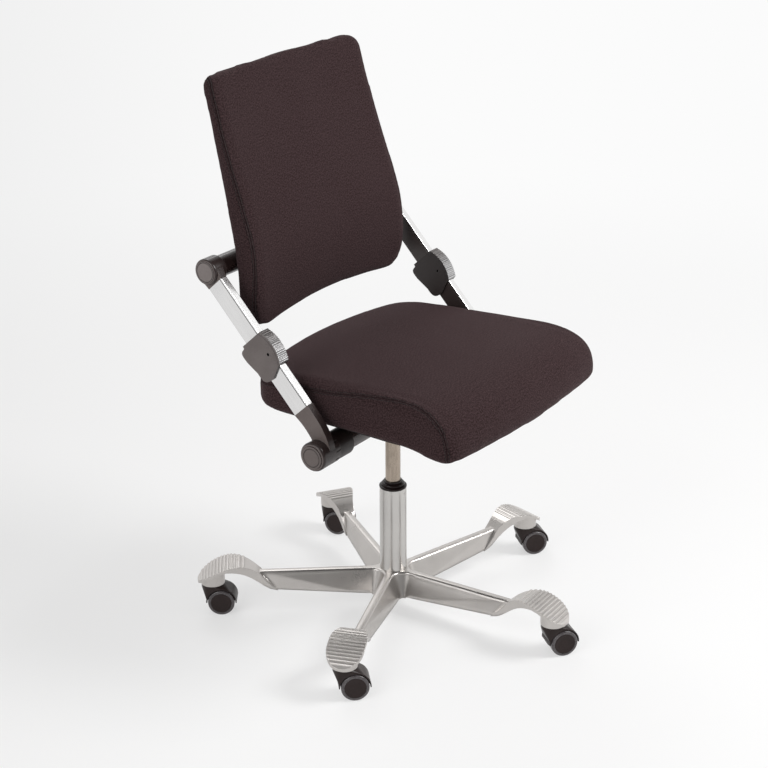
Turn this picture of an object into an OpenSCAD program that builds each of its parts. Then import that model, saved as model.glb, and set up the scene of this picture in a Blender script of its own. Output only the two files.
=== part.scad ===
// Swivel office chair on a five-armed cast base with foot plates, in millimetres.
// The origin is on the floor under the column, +Z is up and the seat faces -Y.
// Right and left are the sitter's own: right is -X and left is +X.

/* [Star base] */
// Radius from the column to each castor socket
socket_r = 339; // [300:1:380]
// Height of the arms' top ridge above the floor
ridge_z = 80; // [70:1:95]
// Height of the hub's underside above the floor
hub_low_z = 34; // [26:1:40]
// Width of an arm's web
web_w = 17; // [13:0.5:22]
// Radius of the rounded shoulders along an arm's ridge
shoulder_r = 4.5; // [2:0.5:6]
// Radius of the vertical fillets between neighbouring arms
crotch_r = 22; // [14:1:30]
// Width of an arm's foot where it becomes the foot plate
flare_w = 29; // [25:0.5:34]
// Lean of an arm's flanks from upright, in degrees
flank_lean = 20; // [10:0.5:22]
// Width of an arm at the hub between its steeper lower walls, measured at the ridge
taper_w = 35; // [30:1:42]
// Lean of the lower walls from upright, in degrees
wall_lean = 9; // [4:0.5:14]
// Wall of the channel under each arm
arm_wall = 3.5; // [2.5:0.5:5]
// Width of a foot plate across its round end
plate_w = 67; // [52:1:76]
// Thickness of a foot plate at its rim
plate_t = 5; // [3.5:0.5:8]
// Height of a foot plate's crest above the floor
crest_z = 100; // [92:1:112]
// Number of grip ribs on a foot plate
rib_count = 13; // [6:1:14]
// Height of a grip rib
rib_h = 1.6; // [0.6:0.1:2.4]
// Diameter of the boss over each castor
boss_d = 45; // [36:1:52]

/* [Castors] */
// Diameter of a castor wheel
wheel_d = 50; // [44:1:56]
// Width of one wheel of a pair
wheel_w = 14; // [10:0.5:18]
// Width over both wheels of a castor
castor_w = 44; // [38:1:52]
// Distance of the axle behind the swivel axis
trail = 16; // [10:0.5:22]
// Gap between a wheel and its hood
hood_gap = 1.5; // [1:0.1:3]
// Thickness of the hood's rim over the wheels
hood_t = 2; // [1.5:0.1:3]
// Diameter of the swivel stem
stem_d = 11; // [8:0.5:12]
// Diameter of the wheel axle
axle_d = 8; // [6:0.5:10]

/* [Gas column] */
// Diameter of the outer column tube
column_d = 50; // [44:0.5:56]
// Wall of the outer column tube
column_wall = 2; // [1.5:0.1:3]
// Height of the column tube's top above the floor
column_top_z = 246; // [210:1:270]
// Diameter of the sliding pressure tube
piston_d = 28; // [25:0.5:32]
// Diameter of the fixed rod inside the pressure tube
rod_d = 10; // [8:0.5:12]

/* [Tilt mechanism] */
// Height of the tilt axis above the floor
tilt_z = 421; // [400:1:440]
// Distance of the tilt axis in front of the column
tilt_y = 33; // [24:1:42]
// Diameter of the cross beam on the tilt axis
beam_d = 40; // [34:1:44]
// Width of the mechanism housing
housing_w = 124; // [100:1:150]
// Thickness of the seat plate
seat_plate_t = 2.5; // [2:0.1:4]
// Diameter of the tension knob
knob_d = 44; // [34:1:52]

/* [Side frame] */
// Distance of each strut's mid-plane from the chair's centre
strut_x = 262.4; // [255:0.1:280]
// Width of a strut seen from the front
strut_w = 15; // [11:0.5:18]
// Depth of a strut seen from the side
strut_d = 37.3; // [32:0.1:42]
// Length of a strut
strut_len = 262; // [240:1:300]
// Wall of the strut's profile
strut_wall = 2; // [1.5:0.1:3]
// Backward slope of the struts, up from level, in degrees
strut_angle = 47.15; // [44:0.05:50]
// Outer diameter of the round hub at each end of the tilt axis
hub_d = 52; // [48:0.5:56]
// Outer diameter of the round head on each upper fitting
head_d = 46; // [43:0.5:50]
// Diameter of the cross tube behind the backrest
cross_tube_d = 38; // [32:0.5:39]
// Diameter of the accessory hole through each strut block
accessory_d = 4.4; // [3:0.1:6]
// Thickness of a block's cheek beside the strut
cheek_t = 4; // [2.5:0.1:6]

/* [Seat] */
// Width of the seat across its front corners
seat_front_w = 496; // [470:1:500]
// Width of the seat at mid depth
seat_mid_w = 478; // [460:1:490]
// Width of the seat at its rear edge before the corners round
seat_rear_w = 452; // [430:1:476]
// Height of the seat cushion's underside above the floor
seat_low_z = 456; // [452:1:464]
// Swell of the seat's front edge at the centre
seat_bow = 21; // [10:1:40]
// Crown of the seat top above its side seams
seat_crown = 5; // [0:0.5:15]

/* [Backrest] */
// Width of the backrest at its top
back_top_w = 434; // [400:1:450]
// Width of the backrest at the lumbar bulge
back_low_w = 458; // [430:1:470]
// Height of the backrest's lower edge above the floor
back_low_z = 584; // [570:1:598]
// Height of the backrest's top edge above the floor
back_high_z = 1026; // [990:1:1060]
// Rise of the arched lower edge at the centre
back_arch = 19; // [0:1:30]
// Hollow of the backrest's face across its width
back_dish = 9; // [0:0.5:16]
// Thickness of the moulded rear shell
shell_t = 4; // [3:0.1:6]

/* [Hidden] */
$fn = 64;
eps = 0.01;

// Clearances: a running pin, flat faces side by side, a pushed-in piece and a seated face; then the screws
run = 0.05;
seat_gap = 0.3;
slip = 0.2;
skin = 0.1;
screw_hole_r = 2.1;
screw_r = 2;
screw_head_r = 3.6;
screw_head_h = 2.2;

// Colours
c_cast = [0.70, 0.69, 0.67];
c_bright = [0.83, 0.83, 0.84];
c_plastic = [0.42, 0.40, 0.39];
c_black = [0.13, 0.12, 0.12];
c_hood = [0.24, 0.20, 0.19];
c_tread = [0.30, 0.29, 0.31];
c_steel = [0.66, 0.63, 0.58];
c_fabric = [0.24, 0.19, 0.20];

// A cubic curve through two end points, drawn towards two handles
function bez(p, t) = pow(1 - t, 3)*p[0] + 3*t*pow(1 - t, 2)*p[1] + 3*t*t*(1 - t)*p[2] + t*t*t*p[3];
function curve(p, n) = [for (i = [0:n]) bez(p, i/n)];
function smooth(t) = let (c = min(1, max(0, t))) c*c*(3 - 2*c);
// Value at a place on a line through [place, value] stations
function at(list, x, i = 0) =
    x <= list[0][0] ? list[0][1]
    : i >= len(list) - 2 || x <= list[i + 1][0]
        ? let (a = list[i], b = list[i + 1], t = min(1, (x - a[0])/(b[0] - a[0]))) a[1] + (b[1] - a[1])*t
        : at(list, x, i + 1);

// Star base: arm angles and the shape of a foot plate in its own upright plane
arm_turn = 272;
function arm_angle(i) = arm_turn + 72*(i - 1);
column_r = column_d/2;
boss_low_z = wheel_d + 9;
crotch_at = (web_w/2 + crotch_r)/sin(36);
tangent_r = crotch_at*cos(36);
arm_end_r = socket_r - 89;
plate_r = plate_w/2;
plate_tip_r = socket_r - 5 + plate_r;
foot_low = [arm_end_r - 24, hub_low_z + 12];
crest_r = socket_r - 43;
tip_z = crest_z - 32;
top_in = [[arm_end_r - 32, foot_low[1] - 2], [arm_end_r - 4, ridge_z - 6], [arm_end_r + 12, crest_z],
    [crest_r, crest_z]];
top_out = [[crest_r, crest_z], [crest_r + 26, crest_z], [crest_r + 49, tip_z + 16], [plate_tip_r, tip_z]];
under_in = [foot_low, [arm_end_r + 2, foot_low[1] + 6], [arm_end_r + 22, crest_z - plate_t - 3],
    [crest_r + 17, crest_z - plate_t - 2.6]];

// Rounded ribs stand along the plate's top, from a little before the crest to the tip.
// Places along it run from -1 on the arm through 0 at the crest to 1 at the tip.
rib_first = -0.19;
rib_last = 0.94;
rib_pitch = (rib_last - rib_first)/rib_count;
rib_shape = [[0, 0], [0.1, 0.75], [0.36, 1], [0.62, 0.75], [0.72, 0]];
function plate_top(s) = s < 0 ? bez(top_in, 1 + s) : bez(top_out, s);
function above_plate(s, h) = let (way = plate_top(s + 0.01) - plate_top(s - 0.01))
    plate_top(s) + h*[-way[1], way[0]]/norm(way);
rib_edge = [for (i = [0:rib_count - 1], p = rib_shape)
    above_plate(rib_first + rib_pitch*(i + p[0]), rib_h*p[1])];
foot_side = concat([for (i = [0:12]) plate_top(-1 + (1 + rib_first)*i/13)], rib_edge, [[plate_tip_r, tip_z]],
    [for (i = [0:6]) let (t = 1 - i/6*0.62) bez(top_out, t) - [t > 0.99 ? 1 : 0, plate_t]],
    [for (i = [0:12]) bez(under_in, 1 - i/12)]);
neck_half = flare_w/2;
function foot_half(r) = neck_half
    + (plate_r - neck_half)*smooth((r - arm_end_r + 5)/(socket_r - 16 - arm_end_r));
foot_plan = [for (i = [0:12]) let (r = arm_end_r - 34 + i*(socket_r - arm_end_r + 29)/12) [r, foot_half(r)]];

module star_base() {
    color(c_cast) difference() {
        union() {
            hub_block();
            for (i = [1:5]) rotate([0, 0, arm_angle(i)]) {
                arm_beam();
                foot_plate();
            }
        }
        translate([0, 0, hub_low_z + 4]) cylinder(h = ridge_z, r = column_r + run);
        translate([0, 0, -eps]) cylinder(h = ridge_z, r = column_r - 5);
        for (i = [1:5]) rotate([0, 0, arm_angle(i)]) {
            arm_channel();
            translate([socket_r, 0, 0]) cylinder(h = stem_top_z + 1, r = stem_d/2 + run);
        }
    }
}

// The flank below the shoulder, as [outward, height]
flank_low_z = hub_low_z - 1;
flank = [[0, ridge_z - shoulder_r], [tan(flank_lean)*(ridge_z - shoulder_r - flank_low_z), flank_low_z]];

// The hub: a star whose corners are the fillets' axes and the places on the arms beside them
module hub_block() {
    corners = [for (i = [1:5]) each [
        tangent_r*[cos(arm_angle(i)), sin(arm_angle(i))],
        crotch_at*[cos(arm_angle(i) + 36), sin(arm_angle(i) + 36)]
    ]];
    difference() {
        translate([0, 0, hub_low_z]) linear_extrude(ridge_z - hub_low_z) polygon(corners);
        for (i = [1:5]) rotate([0, 0, arm_angle(i) + 36]) translate([crotch_at, 0, 0]) crotch();
    }
}

// What a fillet between two arms takes away: a round shaft that opens over the rounded shoulder
// and narrows downwards as the flanks lean in
module crotch() {
    far = crotch_r + shoulder_r;
    rotate_extrude() difference() {
        polygon([[0, flank_low_z], [max(2, crotch_r - flank[1][0]), flank_low_z], [crotch_r, flank[0][1]],
            [far, flank[0][1]], [far, ridge_z + 1], [0, ridge_z + 1]]);
        translate([far, flank[0][1]]) circle(shoulder_r);
    }
}

arm_side = [[0, hub_low_z], [0, ridge_z], [arm_end_r + 2, ridge_z], bez(top_in, 0.5), bez(top_in, 0.1),
    foot_low, [tangent_r, hub_low_z + 2]];

module arm_beam() {
    difference() {
        intersection() {
            rotate([90, 0, 0]) linear_extrude(2*plate_w, center = true) polygon(arm_side);
            rotate([90, 0, 90]) linear_extrude(arm_end_r + 4) arm_section();
        }
        for (side = [0, 1]) mirror([0, side, 0]) beside_wall();
    }
}

// What lies outside an arm's lower wall: it stands steeper than the flank and closes in on the foot,
// so the two meet in a crease that climbs from the hub's foot to the ridge
wall_turn = atan((taper_w - web_w)/2/(foot_low[0] - tangent_r));
module beside_wall() {
    translate([tangent_r, taper_w/2, ridge_z - shoulder_r]) rotate([wall_lean, 0, -wall_turn])
        translate([-arm_end_r/2, 0, -ridge_z]) cube([2*arm_end_r, plate_w, 2*ridge_z]);
}

// Section of an arm: leaning flanks, and rounded over the ridge
module arm_section() {
    half = web_w/2;
    low = half + flank[1][0];
    translate([shoulder_r - half, ridge_z - 2*shoulder_r]) square([web_w - 2*shoulder_r, 2*shoulder_r]);
    for (side = [-1, 1]) translate([side*(half - shoulder_r), ridge_z - shoulder_r]) circle(shoulder_r);
    polygon([[half, flank[0][1]], [-half, flank[0][1]], [-low, flank_low_z], [low, flank_low_z]]);
}

module foot_plate() {
    intersection() {
        rotate([90, 0, 0]) linear_extrude(plate_w, center = true) polygon(foot_side);
        linear_extrude(crest_z + 10) union() {
            polygon(concat(foot_plan, [for (i = [12:-1:0]) [foot_plan[i][0], -foot_plan[i][1]]]));
            translate([socket_r - 5, 0]) circle(plate_r);
        }
    }
    intersection() {
        translate([socket_r, 0, boss_low_z]) cylinder(h = crest_z - boss_low_z, r = boss_d/2);
        rotate([90, 0, 0]) linear_extrude(plate_w, center = true)
            polygon(concat([[crest_r - 6, 0], [crest_r - 6, crest_z - plate_t - 1]],
                [for (i = [0:8]) bez(top_out, 0.2 + 0.8*i/8) - [0, 1.5]], [[plate_tip_r, 0]]));
    }
}

// The open channel under an arm
module arm_channel() {
    top = ridge_z - arm_wall - 3;
    half = web_w/2 - arm_wall;
    low = half + tan(wall_lean)*top;
    start_r = tangent_r + 2;
    end_r = arm_end_r - 36;
    intersection() {
        rotate([90, 0, 0]) linear_extrude(plate_w, center = true)
            polygon([[start_r, 0], [start_r, top - 9], [start_r + 20, top], [end_r, top], [end_r, 0]]);
        rotate([90, 0, 90]) linear_extrude(arm_end_r)
            polygon([[-half, top + 1], [half, top + 1], [half, top], [low, 0], [-low, 0], [-half, top]]);
    }
}

// Castors: each is drawn with its swivel axis on Z and trails along +X, then turned to its rest
castor_rest = [-38, -40, -75, -56, -48];
module castor_place(i) {
    rotate([0, 0, arm_angle(i)]) translate([socket_r, 0, 0]) rotate([0, 0, castor_rest[i - 1] - arm_angle(i)])
        children();
}

wheel_r = wheel_d/2;
hood_r = wheel_r + hood_gap + hood_t;
hood_w = castor_w - 6;
web_half = castor_w/2 - wheel_w - 1;
hood_top_z = boss_low_z - 1;
stem_top_z = boss_low_z + 16;
hood_neck_r = boss_d/2 - 1;
wheel_floor = 2.5;
stem_low_z = hood_top_z - 17;

module castor_hood(i) {
    color(c_hood) castor_place(i) difference() {
        union() {
            hull() {
                translate([0, 0, hood_top_z - 6]) cylinder(h = 6, r = hood_neck_r, $fn = 48);
                fender(6, 48);
            }
            fender(-1, 64);
            translate([trail, 0, wheel_r]) rotate([90, 0, 0])
                cylinder(h = 2*web_half, r = axle_d/2 + 5, center = true);
        }
        for (side = [-1, 1]) translate([trail, side*(web_half + hood_w/2), wheel_r]) rotate([90, 0, 0])
            cylinder(h = hood_w, r = wheel_r + hood_gap, center = true);
        translate([trail, 0, wheel_r]) rotate([90, 0, 0])
            cylinder(h = castor_w, r = axle_d/2 + run, center = true);
        translate([0, 0, stem_low_z]) cylinder(h = 30, r = stem_d/2 + run);
    }
}

// The round guard over both wheels, down to a height above the axle
module fender(low, steps) {
    translate([trail, 0, wheel_r]) rotate([90, 0, 0]) intersection() {
        cylinder(h = hood_w, r = hood_r, center = true, $fn = steps);
        translate([-hood_r, low, -hood_w]) cube([2*hood_r, hood_r + 2, 2*hood_w]);
    }
}

module castor_pins(i) {
    color(c_steel) castor_place(i) {
        translate([0, 0, stem_low_z]) cylinder(h = stem_top_z - stem_low_z, r = stem_d/2);
        translate([trail, 0, wheel_r]) rotate([90, 0, 0])
            cylinder(h = castor_w - 2*wheel_floor - 2*seat_gap, r = axle_d/2, center = true);
    }
}

// A wheel: a rounded tread ring round a shallow dished face, bored from its inner side
module castor_wheel(i, side) {
    round_r = 3;
    color(c_tread) castor_place(i) translate([trail, side*castor_w/2, wheel_r]) rotate([side*90, 0, 0])
        rotate_extrude() difference() {
            union() {
                square([wheel_r - round_r, wheel_w]);
                translate([0, round_r]) square([wheel_r, wheel_w - 2*round_r]);
                for (y = [round_r, wheel_w - round_r])
                    translate([wheel_r - round_r, y]) circle(round_r, $fn = 32);
            }
            translate([0, wheel_floor]) square([axle_d/2 + run, wheel_w]);
            translate([0, -1]) square([wheel_r - 5.5, 1.8]);
            translate([0, wheel_w - 1]) difference() {
                square([wheel_r - 5, 2]);
                square([axle_d/2 + 3, 2]);
            }
        }
}

// Gas column
collar_z = column_top_z;
column_low_z = hub_low_z + 4 + seat_gap;
column_inner_r = column_r - column_wall;
piston_r = piston_d/2;
rod_r = rod_d/2;
piston_low_z = collar_z - 66;
piston_wall = 2.5;
plug_h = 8;
rise_left = 34;
rod_low_z = column_low_z - 4;
column_floor = 5;
piston_top_z = tilt_z - beam_d/2 - 4;

module column_tube() {
    color(c_cast) difference() {
        translate([0, 0, column_low_z]) cylinder(h = column_top_z - column_low_z, r = column_r);
        translate([0, 0, column_low_z + column_floor]) cylinder(h = column_top_z, r = column_inner_r);
        translate([0, 0, column_low_z - 1]) cylinder(h = column_floor + 2, r = rod_r + 1);
        translate([0, -column_r, column_top_z - 9]) rotate([90, 0, 0])
            cylinder(h = 3, r = 1.2, center = true);
    }
}

// The collar stands on the tube's rim in two steps and reaches down inside as the guide bush
module guide_collar() {
    lip_r = piston_r + 2.6;
    color(c_black) rotate_extrude() difference() {
        union() {
            translate([0, collar_z - 58]) square([column_inner_r - slip, 58]);
            translate([0, collar_z + skin]) square([column_r - 1.5, 4.5]);
            translate([column_r - 1.5, collar_z + 2.4]) circle(2.2, $fn = 32);
            translate([lip_r + 1, collar_z + 6.5]) circle(4, $fn = 32);
            translate([0, collar_z + 2]) square([lip_r + 2, 8.5]);
            translate([0, collar_z + 9]) square([lip_r, 5]);
        }
        translate([0, collar_z - 60]) square([piston_r + run, 90]);
        translate([piston_r - 0.5, collar_z - 48]) square([3, 34]);
    }
}

module thrust_bearing() {
    color(c_steel) translate([0, 0, column_low_z + column_floor + skin]) difference() {
        cylinder(h = 6, r = rod_r + 7);
        translate([0, 0, -1]) cylinder(h = 8, r = rod_r + run);
    }
}

// The clip under the column holds the rod from below
module retaining_clip() {
    color(c_steel) translate([0, 0, column_low_z - 2.4]) difference() {
        cylinder(h = 2, r = rod_r + 5);
        translate([0, 0, -1]) cylinder(h = 4, r = rod_r + run);
        translate([0, -2, -1]) cube([20, 4, 4]);
    }
}

// The rod stands on the column's floor and carries the piston head inside the pressure tube
module lift_rod() {
    head_low_z = piston_low_z + plug_h + rise_left;
    color(c_steel) {
        translate([0, 0, rod_low_z]) cylinder(h = head_low_z - rod_low_z, r = rod_r);
        translate([0, 0, head_low_z - eps]) cylinder(h = 10, r = piston_r - piston_wall - run);
    }
}

module pressure_tube() {
    color(c_steel) difference() {
        translate([0, 0, piston_low_z]) cylinder(h = piston_top_z - piston_low_z, r = piston_r);
        translate([0, 0, piston_low_z + plug_h])
            cylinder(h = piston_top_z - piston_low_z - 36, r = piston_r - piston_wall);
        translate([0, 0, piston_low_z - 1]) cylinder(h = plug_h + 2, r = rod_r + run);
    }
}

// Tilt mechanism: the housing sits on the pressure tube and the cross beam turns in it
tilt_at = [0, -tilt_y, tilt_z];
beam_r = beam_d/2;
bush_t = 3;
bush_w = 12;
ear_r = beam_r + 6;
ear_t = 5;
housing_low_z = tilt_z - beam_r - 15;
housing_top_z = tilt_z + 9;
housing_front = -tilt_y - 46;
housing_rear = 46;
plate_low_z = tilt_z + ear_r + 0.2;
plate_top_z = plate_low_z + seat_plate_t;
lever_y = 8;
lever_z = piston_top_z + 8;
lever_pivot_x = 45;
lever_r = 4;
lever_pin_r = 2.5;
lever_end_x = 150;
lever_pin_len = 22;
knob_y = -tilt_y - 30;
knob_screw_r = 5;
neck_r = piston_r + 8;
neck_h = 16;
beam_boss_r = beam_r + 5.2;

module along_x() {
    rotate([90, 0, 90]) children();
}

module rounded_plan(x, front, rear, r) {
    translate([-x, front + r]) square([2*x, rear - front - 2*r]);
    translate([-x + r, front]) square([2*x - 2*r, rear - front]);
    for (px = [-x + r, x - r], py = [front + r, rear - r]) translate([px, py]) circle(r);
}

module tilt_housing() {
    half = housing_w/2;
    color(c_black) difference() {
        union() {
            translate([0, 0, housing_low_z]) linear_extrude(housing_top_z - housing_low_z)
                rounded_plan(half - 4, housing_front, housing_rear, 14);
            translate(tilt_at) along_x() cylinder(h = housing_w, r = beam_boss_r, center = true);
            translate([0, 0, housing_low_z - neck_h]) cylinder(h = neck_h + 4, r = neck_r);
        }
        translate(tilt_at) along_x() {
            cylinder(h = housing_w + 2, r = beam_r + 1, center = true);
            for (side = [-1, 1]) translate([0, 0, side*(half - bush_w/2 + 1)])
                cylinder(h = bush_w + 2, r = beam_r + bush_t + run, center = true);
        }
        translate([0, 0, housing_low_z - neck_h - 1])
            cylinder(h = piston_top_z - housing_low_z + neck_h + 3, r = piston_r + run);
        translate([0, knob_y, housing_low_z - 1]) cylinder(h = 25, r = knob_screw_r + run);
        translate([lever_pivot_x, lever_y, lever_z]) rotate([90, 0, 0])
            cylinder(h = lever_pin_len + 2, r = lever_pin_r + run, center = true);
        // Pocket for the lever's inner arm over the valve
        translate([-lever_r - 4, lever_y - lever_r - 1, piston_top_z - 0.5])
            cube([half + 20, 2*lever_r + 2, 2*lever_r + 8]);
    }
}

// The tray under the housing
module mechanism_cover() {
    tray_t = 2.5;
    tray_h = 14;
    low = housing_low_z - tray_t - seat_gap;
    half = housing_w/2;
    color(c_black) difference() {
        translate([0, 0, low]) linear_extrude(tray_h)
            rounded_plan(half - 4 + seat_gap + tray_t, housing_front - seat_gap - tray_t,
                housing_rear + seat_gap + tray_t, 14 + tray_t);
        translate([0, 0, low + tray_t]) linear_extrude(tray_h)
            rounded_plan(half - 4 + seat_gap, housing_front - seat_gap, housing_rear + seat_gap, 14);
        translate([0, 0, low - 1]) cylinder(h = tray_t + 2, r = neck_r + seat_gap);
        translate([0, knob_y, low - 1]) cylinder(h = tray_t + 2, r = knob_screw_r + 1);
        translate(tilt_at) along_x() cylinder(h = housing_w + 10, r = beam_boss_r + seat_gap, center = true);
    }
}

module beam_bushes() {
    color(c_plastic) translate(tilt_at) along_x() for (side = [-1, 1])
        translate([0, 0, side*(housing_w/2 - bush_w/2)]) difference() {
            cylinder(h = bush_w, r = beam_r + bush_t, center = true);
            cylinder(h = bush_w + 1, r = beam_r + run, center = true);
        }
}

// The knob hangs under the housing's front on its screw
module tension_knob() {
    knob_h = 20;
    knob_top = housing_low_z - 8;
    knob_r = knob_d/2;
    lobes = 10;
    color(c_black) translate([0, knob_y, 0]) {
        difference() {
            translate([0, 0, knob_top - knob_h]) rotate_extrude() {
                square([knob_r - 3, knob_h]);
                translate([0, 3]) square([knob_r, knob_h - 6]);
                for (z = [3, knob_h - 3]) translate([knob_r - 3, z]) circle(3, $fn = 32);
            }
            for (i = [1:lobes]) rotate([0, 0, i*360/lobes])
                translate([knob_r + 3, 0, knob_top - knob_h - 1]) cylinder(h = knob_h + 2, r = 5);
        }
        translate([0, 0, knob_top - eps]) cylinder(h = 28, r = knob_screw_r);
    }
}

module height_lever() {
    color(c_steel) {
        translate([-2, lever_y, lever_z]) along_x() cylinder(h = lever_end_x + 2, r = lever_r);
        translate([lever_pivot_x, lever_y, lever_z]) rotate([90, 0, 0])
            cylinder(h = lever_pin_len, r = lever_pin_r, center = true);
    }
}

// A flat grip pushed over the end of the lever
module lever_paddle() {
    grip_r = 15;
    neck = lever_r + 4;
    color(c_black) difference() {
        translate([lever_end_x - 22, lever_y, lever_z - lever_r - 2]) linear_extrude(2*lever_r + 4) {
            translate([0, -neck]) square([20, 2*neck]);
            polygon([[18, -neck], [34, -grip_r], [52, -grip_r], [52, grip_r], [34, grip_r], [18, neck]]);
            translate([52, 0]) circle(grip_r);
        }
        translate([lever_end_x - 30, lever_y, lever_z]) along_x() cylinder(h = 32, r = lever_r + run);
    }
}

// Side frame. Each strut's own frame has Y along the strut from its lower end and Z towards its front.
strut_back = 36.1;
strut_rise = 71.3;
strut_y0 = -tilt_y + strut_back;
strut_z0 = tilt_z + strut_rise;
head_s = strut_len + 25;
head_n = 1.5;
head_y = strut_y0 + head_s*cos(strut_angle) - head_n*sin(strut_angle);
head_z = strut_z0 + head_s*sin(strut_angle) + head_n*cos(strut_angle);
in_x = strut_x - strut_w/2;
out_x = strut_x + strut_w/2;
hub_r = hub_d/2;
hub_rim = 5;
head_rim = 3.5;
cap_depth = 1.5;
hub_in_x = in_x - 13;
hub_out_x = out_x + 20;
head_r = head_d/2;
head_in_x = in_x - 9;
head_out_x = out_x + 6;
tube_r = cross_tube_d/2;
tube_end_x = head_out_x - 6;
tongue_len = 28;
sleeve_w = 40;
beam_wall = 2.5;

// Draws for the left side, or mirrored for the right
module on_side(right) {
    mirror([right ? 1 : 0, 0, 0]) children();
}
module on_strut() {
    translate([strut_x, strut_y0, strut_z0]) rotate([strut_angle, 0, 0]) children();
}
// Stands an outline in the strut's side view: its X runs along the strut and its Y towards the front
module side_plate(half) {
    rotate([0, 0, 90]) rotate([90, 0, 0]) translate([0, 0, -half]) linear_extrude(2*half) children();
}
module extrude_x(low, high) {
    translate([low, 0, 0]) rotate([90, 0, 90]) linear_extrude(high - low) children();
}
function strut_point(s, n) = [s*cos(strut_angle) - n*sin(strut_angle) + strut_back,
    s*sin(strut_angle) + n*cos(strut_angle) + strut_rise];

module tilt_beam() {
    color(c_black) translate(tilt_at) along_x() difference() {
        cylinder(h = 2*(hub_in_x - seat_gap), r = beam_r, center = true);
        cylinder(h = 2*hub_in_x + 2, r = beam_r - beam_wall, center = true);
    }
}

// A tongue that fills a strut's bore, less its clearance
module tongue(low, high) {
    half_w = strut_w/2 - strut_wall - slip;
    half_d = strut_d/2 - strut_wall - slip;
    translate([-half_w, low, -half_d]) cube([2*half_w, high - low, 2*half_d]);
}

// Round body on an X axis, rounded on its outer rim
module rimmed(low, high, r, rim) {
    rotate([0, 90, 0]) rotate_extrude() {
        translate([0, low]) square([r, high - low - rim]);
        translate([0, low]) square([r - rim, high - low]);
        translate([r - rim, high - rim]) circle(rim, $fn = 48);
    }
}

module lower_arm(right) {
    front = strut_point(0, strut_d/2);
    rear = strut_point(0, -strut_d/2);
    notch_count = 10;
    color(c_plastic) on_side(right) difference() {
        union() {
            translate(tilt_at) {
                extrude_x(in_x, out_x) polygon(concat(
                    curve([front, [3, 62], [-16, 44], [-hub_r + 2, 10]], 12), [[0, 0]],
                    curve([[hub_r/2, hub_r - 6], [24, 38], [38, 50], rear], 8)));
                rimmed(hub_in_x, hub_out_x, hub_r, hub_rim);
                along_x() translate([0, 0, hub_in_x - 27]) cylinder(h = 30, r = beam_r - beam_wall - slip);
            }
            on_strut() tongue(-2, tongue_len);
        }
        translate(tilt_at) {
            extrude_x(hub_out_x - cap_depth, hub_out_x + 5) circle(hub_r - hub_rim);
            for (i = [1:notch_count]) rotate([i*360/notch_count + 8, 0, 0])
                translate([hub_in_x - 1, -1.6, hub_r - 1.4]) cube([13, 3.2, 4]);
        }
        on_strut() screw_hole(tongue_len/2);
    }
}

module hub_cap(right) {
    color(c_plastic) on_side(right) translate(tilt_at)
        rimmed(hub_out_x - cap_depth + skin, hub_out_x + 1.8, hub_r - hub_rim - slip, 1.2);
}

module sleeve(right) {
    color(c_black) on_side(right) translate(tilt_at) along_x()
        translate([0, 0, hub_in_x - seat_gap - sleeve_w]) difference() {
            cylinder(h = sleeve_w, r = hub_r - 1);
            translate([0, 0, -1]) cylinder(h = sleeve_w + 2, r = beam_r + run);
        }
}

// Screws through the strut's inner wall into the tongues
module screw_hole(s) {
    translate([-strut_w/2 - 3, s, 0]) rotate([0, 90, 0]) cylinder(h = 14, r = screw_hole_r);
}

module strut(right) {
    groove = 1.2;
    color(c_bright) on_side(right) on_strut() difference() {
        translate([0, strut_len, 0]) rotate([90, 0, 0]) linear_extrude(strut_len) difference() {
            rounded_plan(strut_w/2, -strut_d/2, strut_d/2, 1.5);
            translate([-strut_w/2 + strut_wall, -strut_d/2 + strut_wall])
                square([strut_w - 2*strut_wall, strut_d - 2*strut_wall]);
            for (side = [-1, 1]) translate([side*strut_w/2, strut_d/2 - 3.4]) square(groove, center = true);
        }
        for (s = [tongue_len/2, strut_len - tongue_len/2]) screw_hole(s);
        translate([0, hole_s, hole_n]) rotate([0, 90, 0])
            cylinder(h = strut_w + 2, r = accessory_d/2 + seat_gap, center = true);
    }
}

// Block clamped round each strut: an arched ribbed rim in front and a swelling behind
block_low_s = 71;
block_top_s = 148;
arc_r = 62;
arc_s = 116.5;
arc_n = -27.8;
hole_s = 109;
hole_n = 13.2;
arc_from = 123;
arc_to = 59.5;
function arc_point(a, r = arc_r) = [arc_s + r*cos(a), arc_n + r*sin(a)];
block_side = concat(
    [for (i = [0:14]) arc_point(arc_from + (arc_to - arc_from)*i/14)],
    [[block_top_s, -strut_d/2 - 6], [block_top_s - 4.5, -strut_d/2 - 6.6]],
    curve([[block_top_s - 5, -strut_d/2 - 9], [block_top_s - 6, -strut_d/2 - 20],
        [block_top_s - 12, -strut_d/2 - 19.5], [block_top_s - 26, -strut_d/2 - 18.5]], 6),
    curve([[block_low_s + 24, -31], [block_low_s + 6, -32], [block_low_s, -28], [block_low_s, -9]], 8),
    [[block_low_s + 10, 15]]);

module block(right) {
    ribs = 16;
    half = strut_w/2 + cheek_t;
    color(c_plastic) on_side(right) on_strut() difference() {
        side_plate(half) polygon(block_side);
        cube([strut_w + 2*slip, 4*strut_len, strut_d + 2*slip], center = true);
        for (i = [1:ribs - 1]) let (p = arc_point(arc_from + (arc_to - arc_from)*i/ribs, arc_r + 0.2))
            translate([0, p[0], p[1]]) rotate([0, 90, 0])
                cylinder(h = 2*half + 1, r = 1, center = true, $fn = 24);
        translate([0, hole_s, hole_n]) rotate([0, 90, 0])
            cylinder(h = 2*half + 2, r = accessory_d/2, center = true);
    }
}

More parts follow.
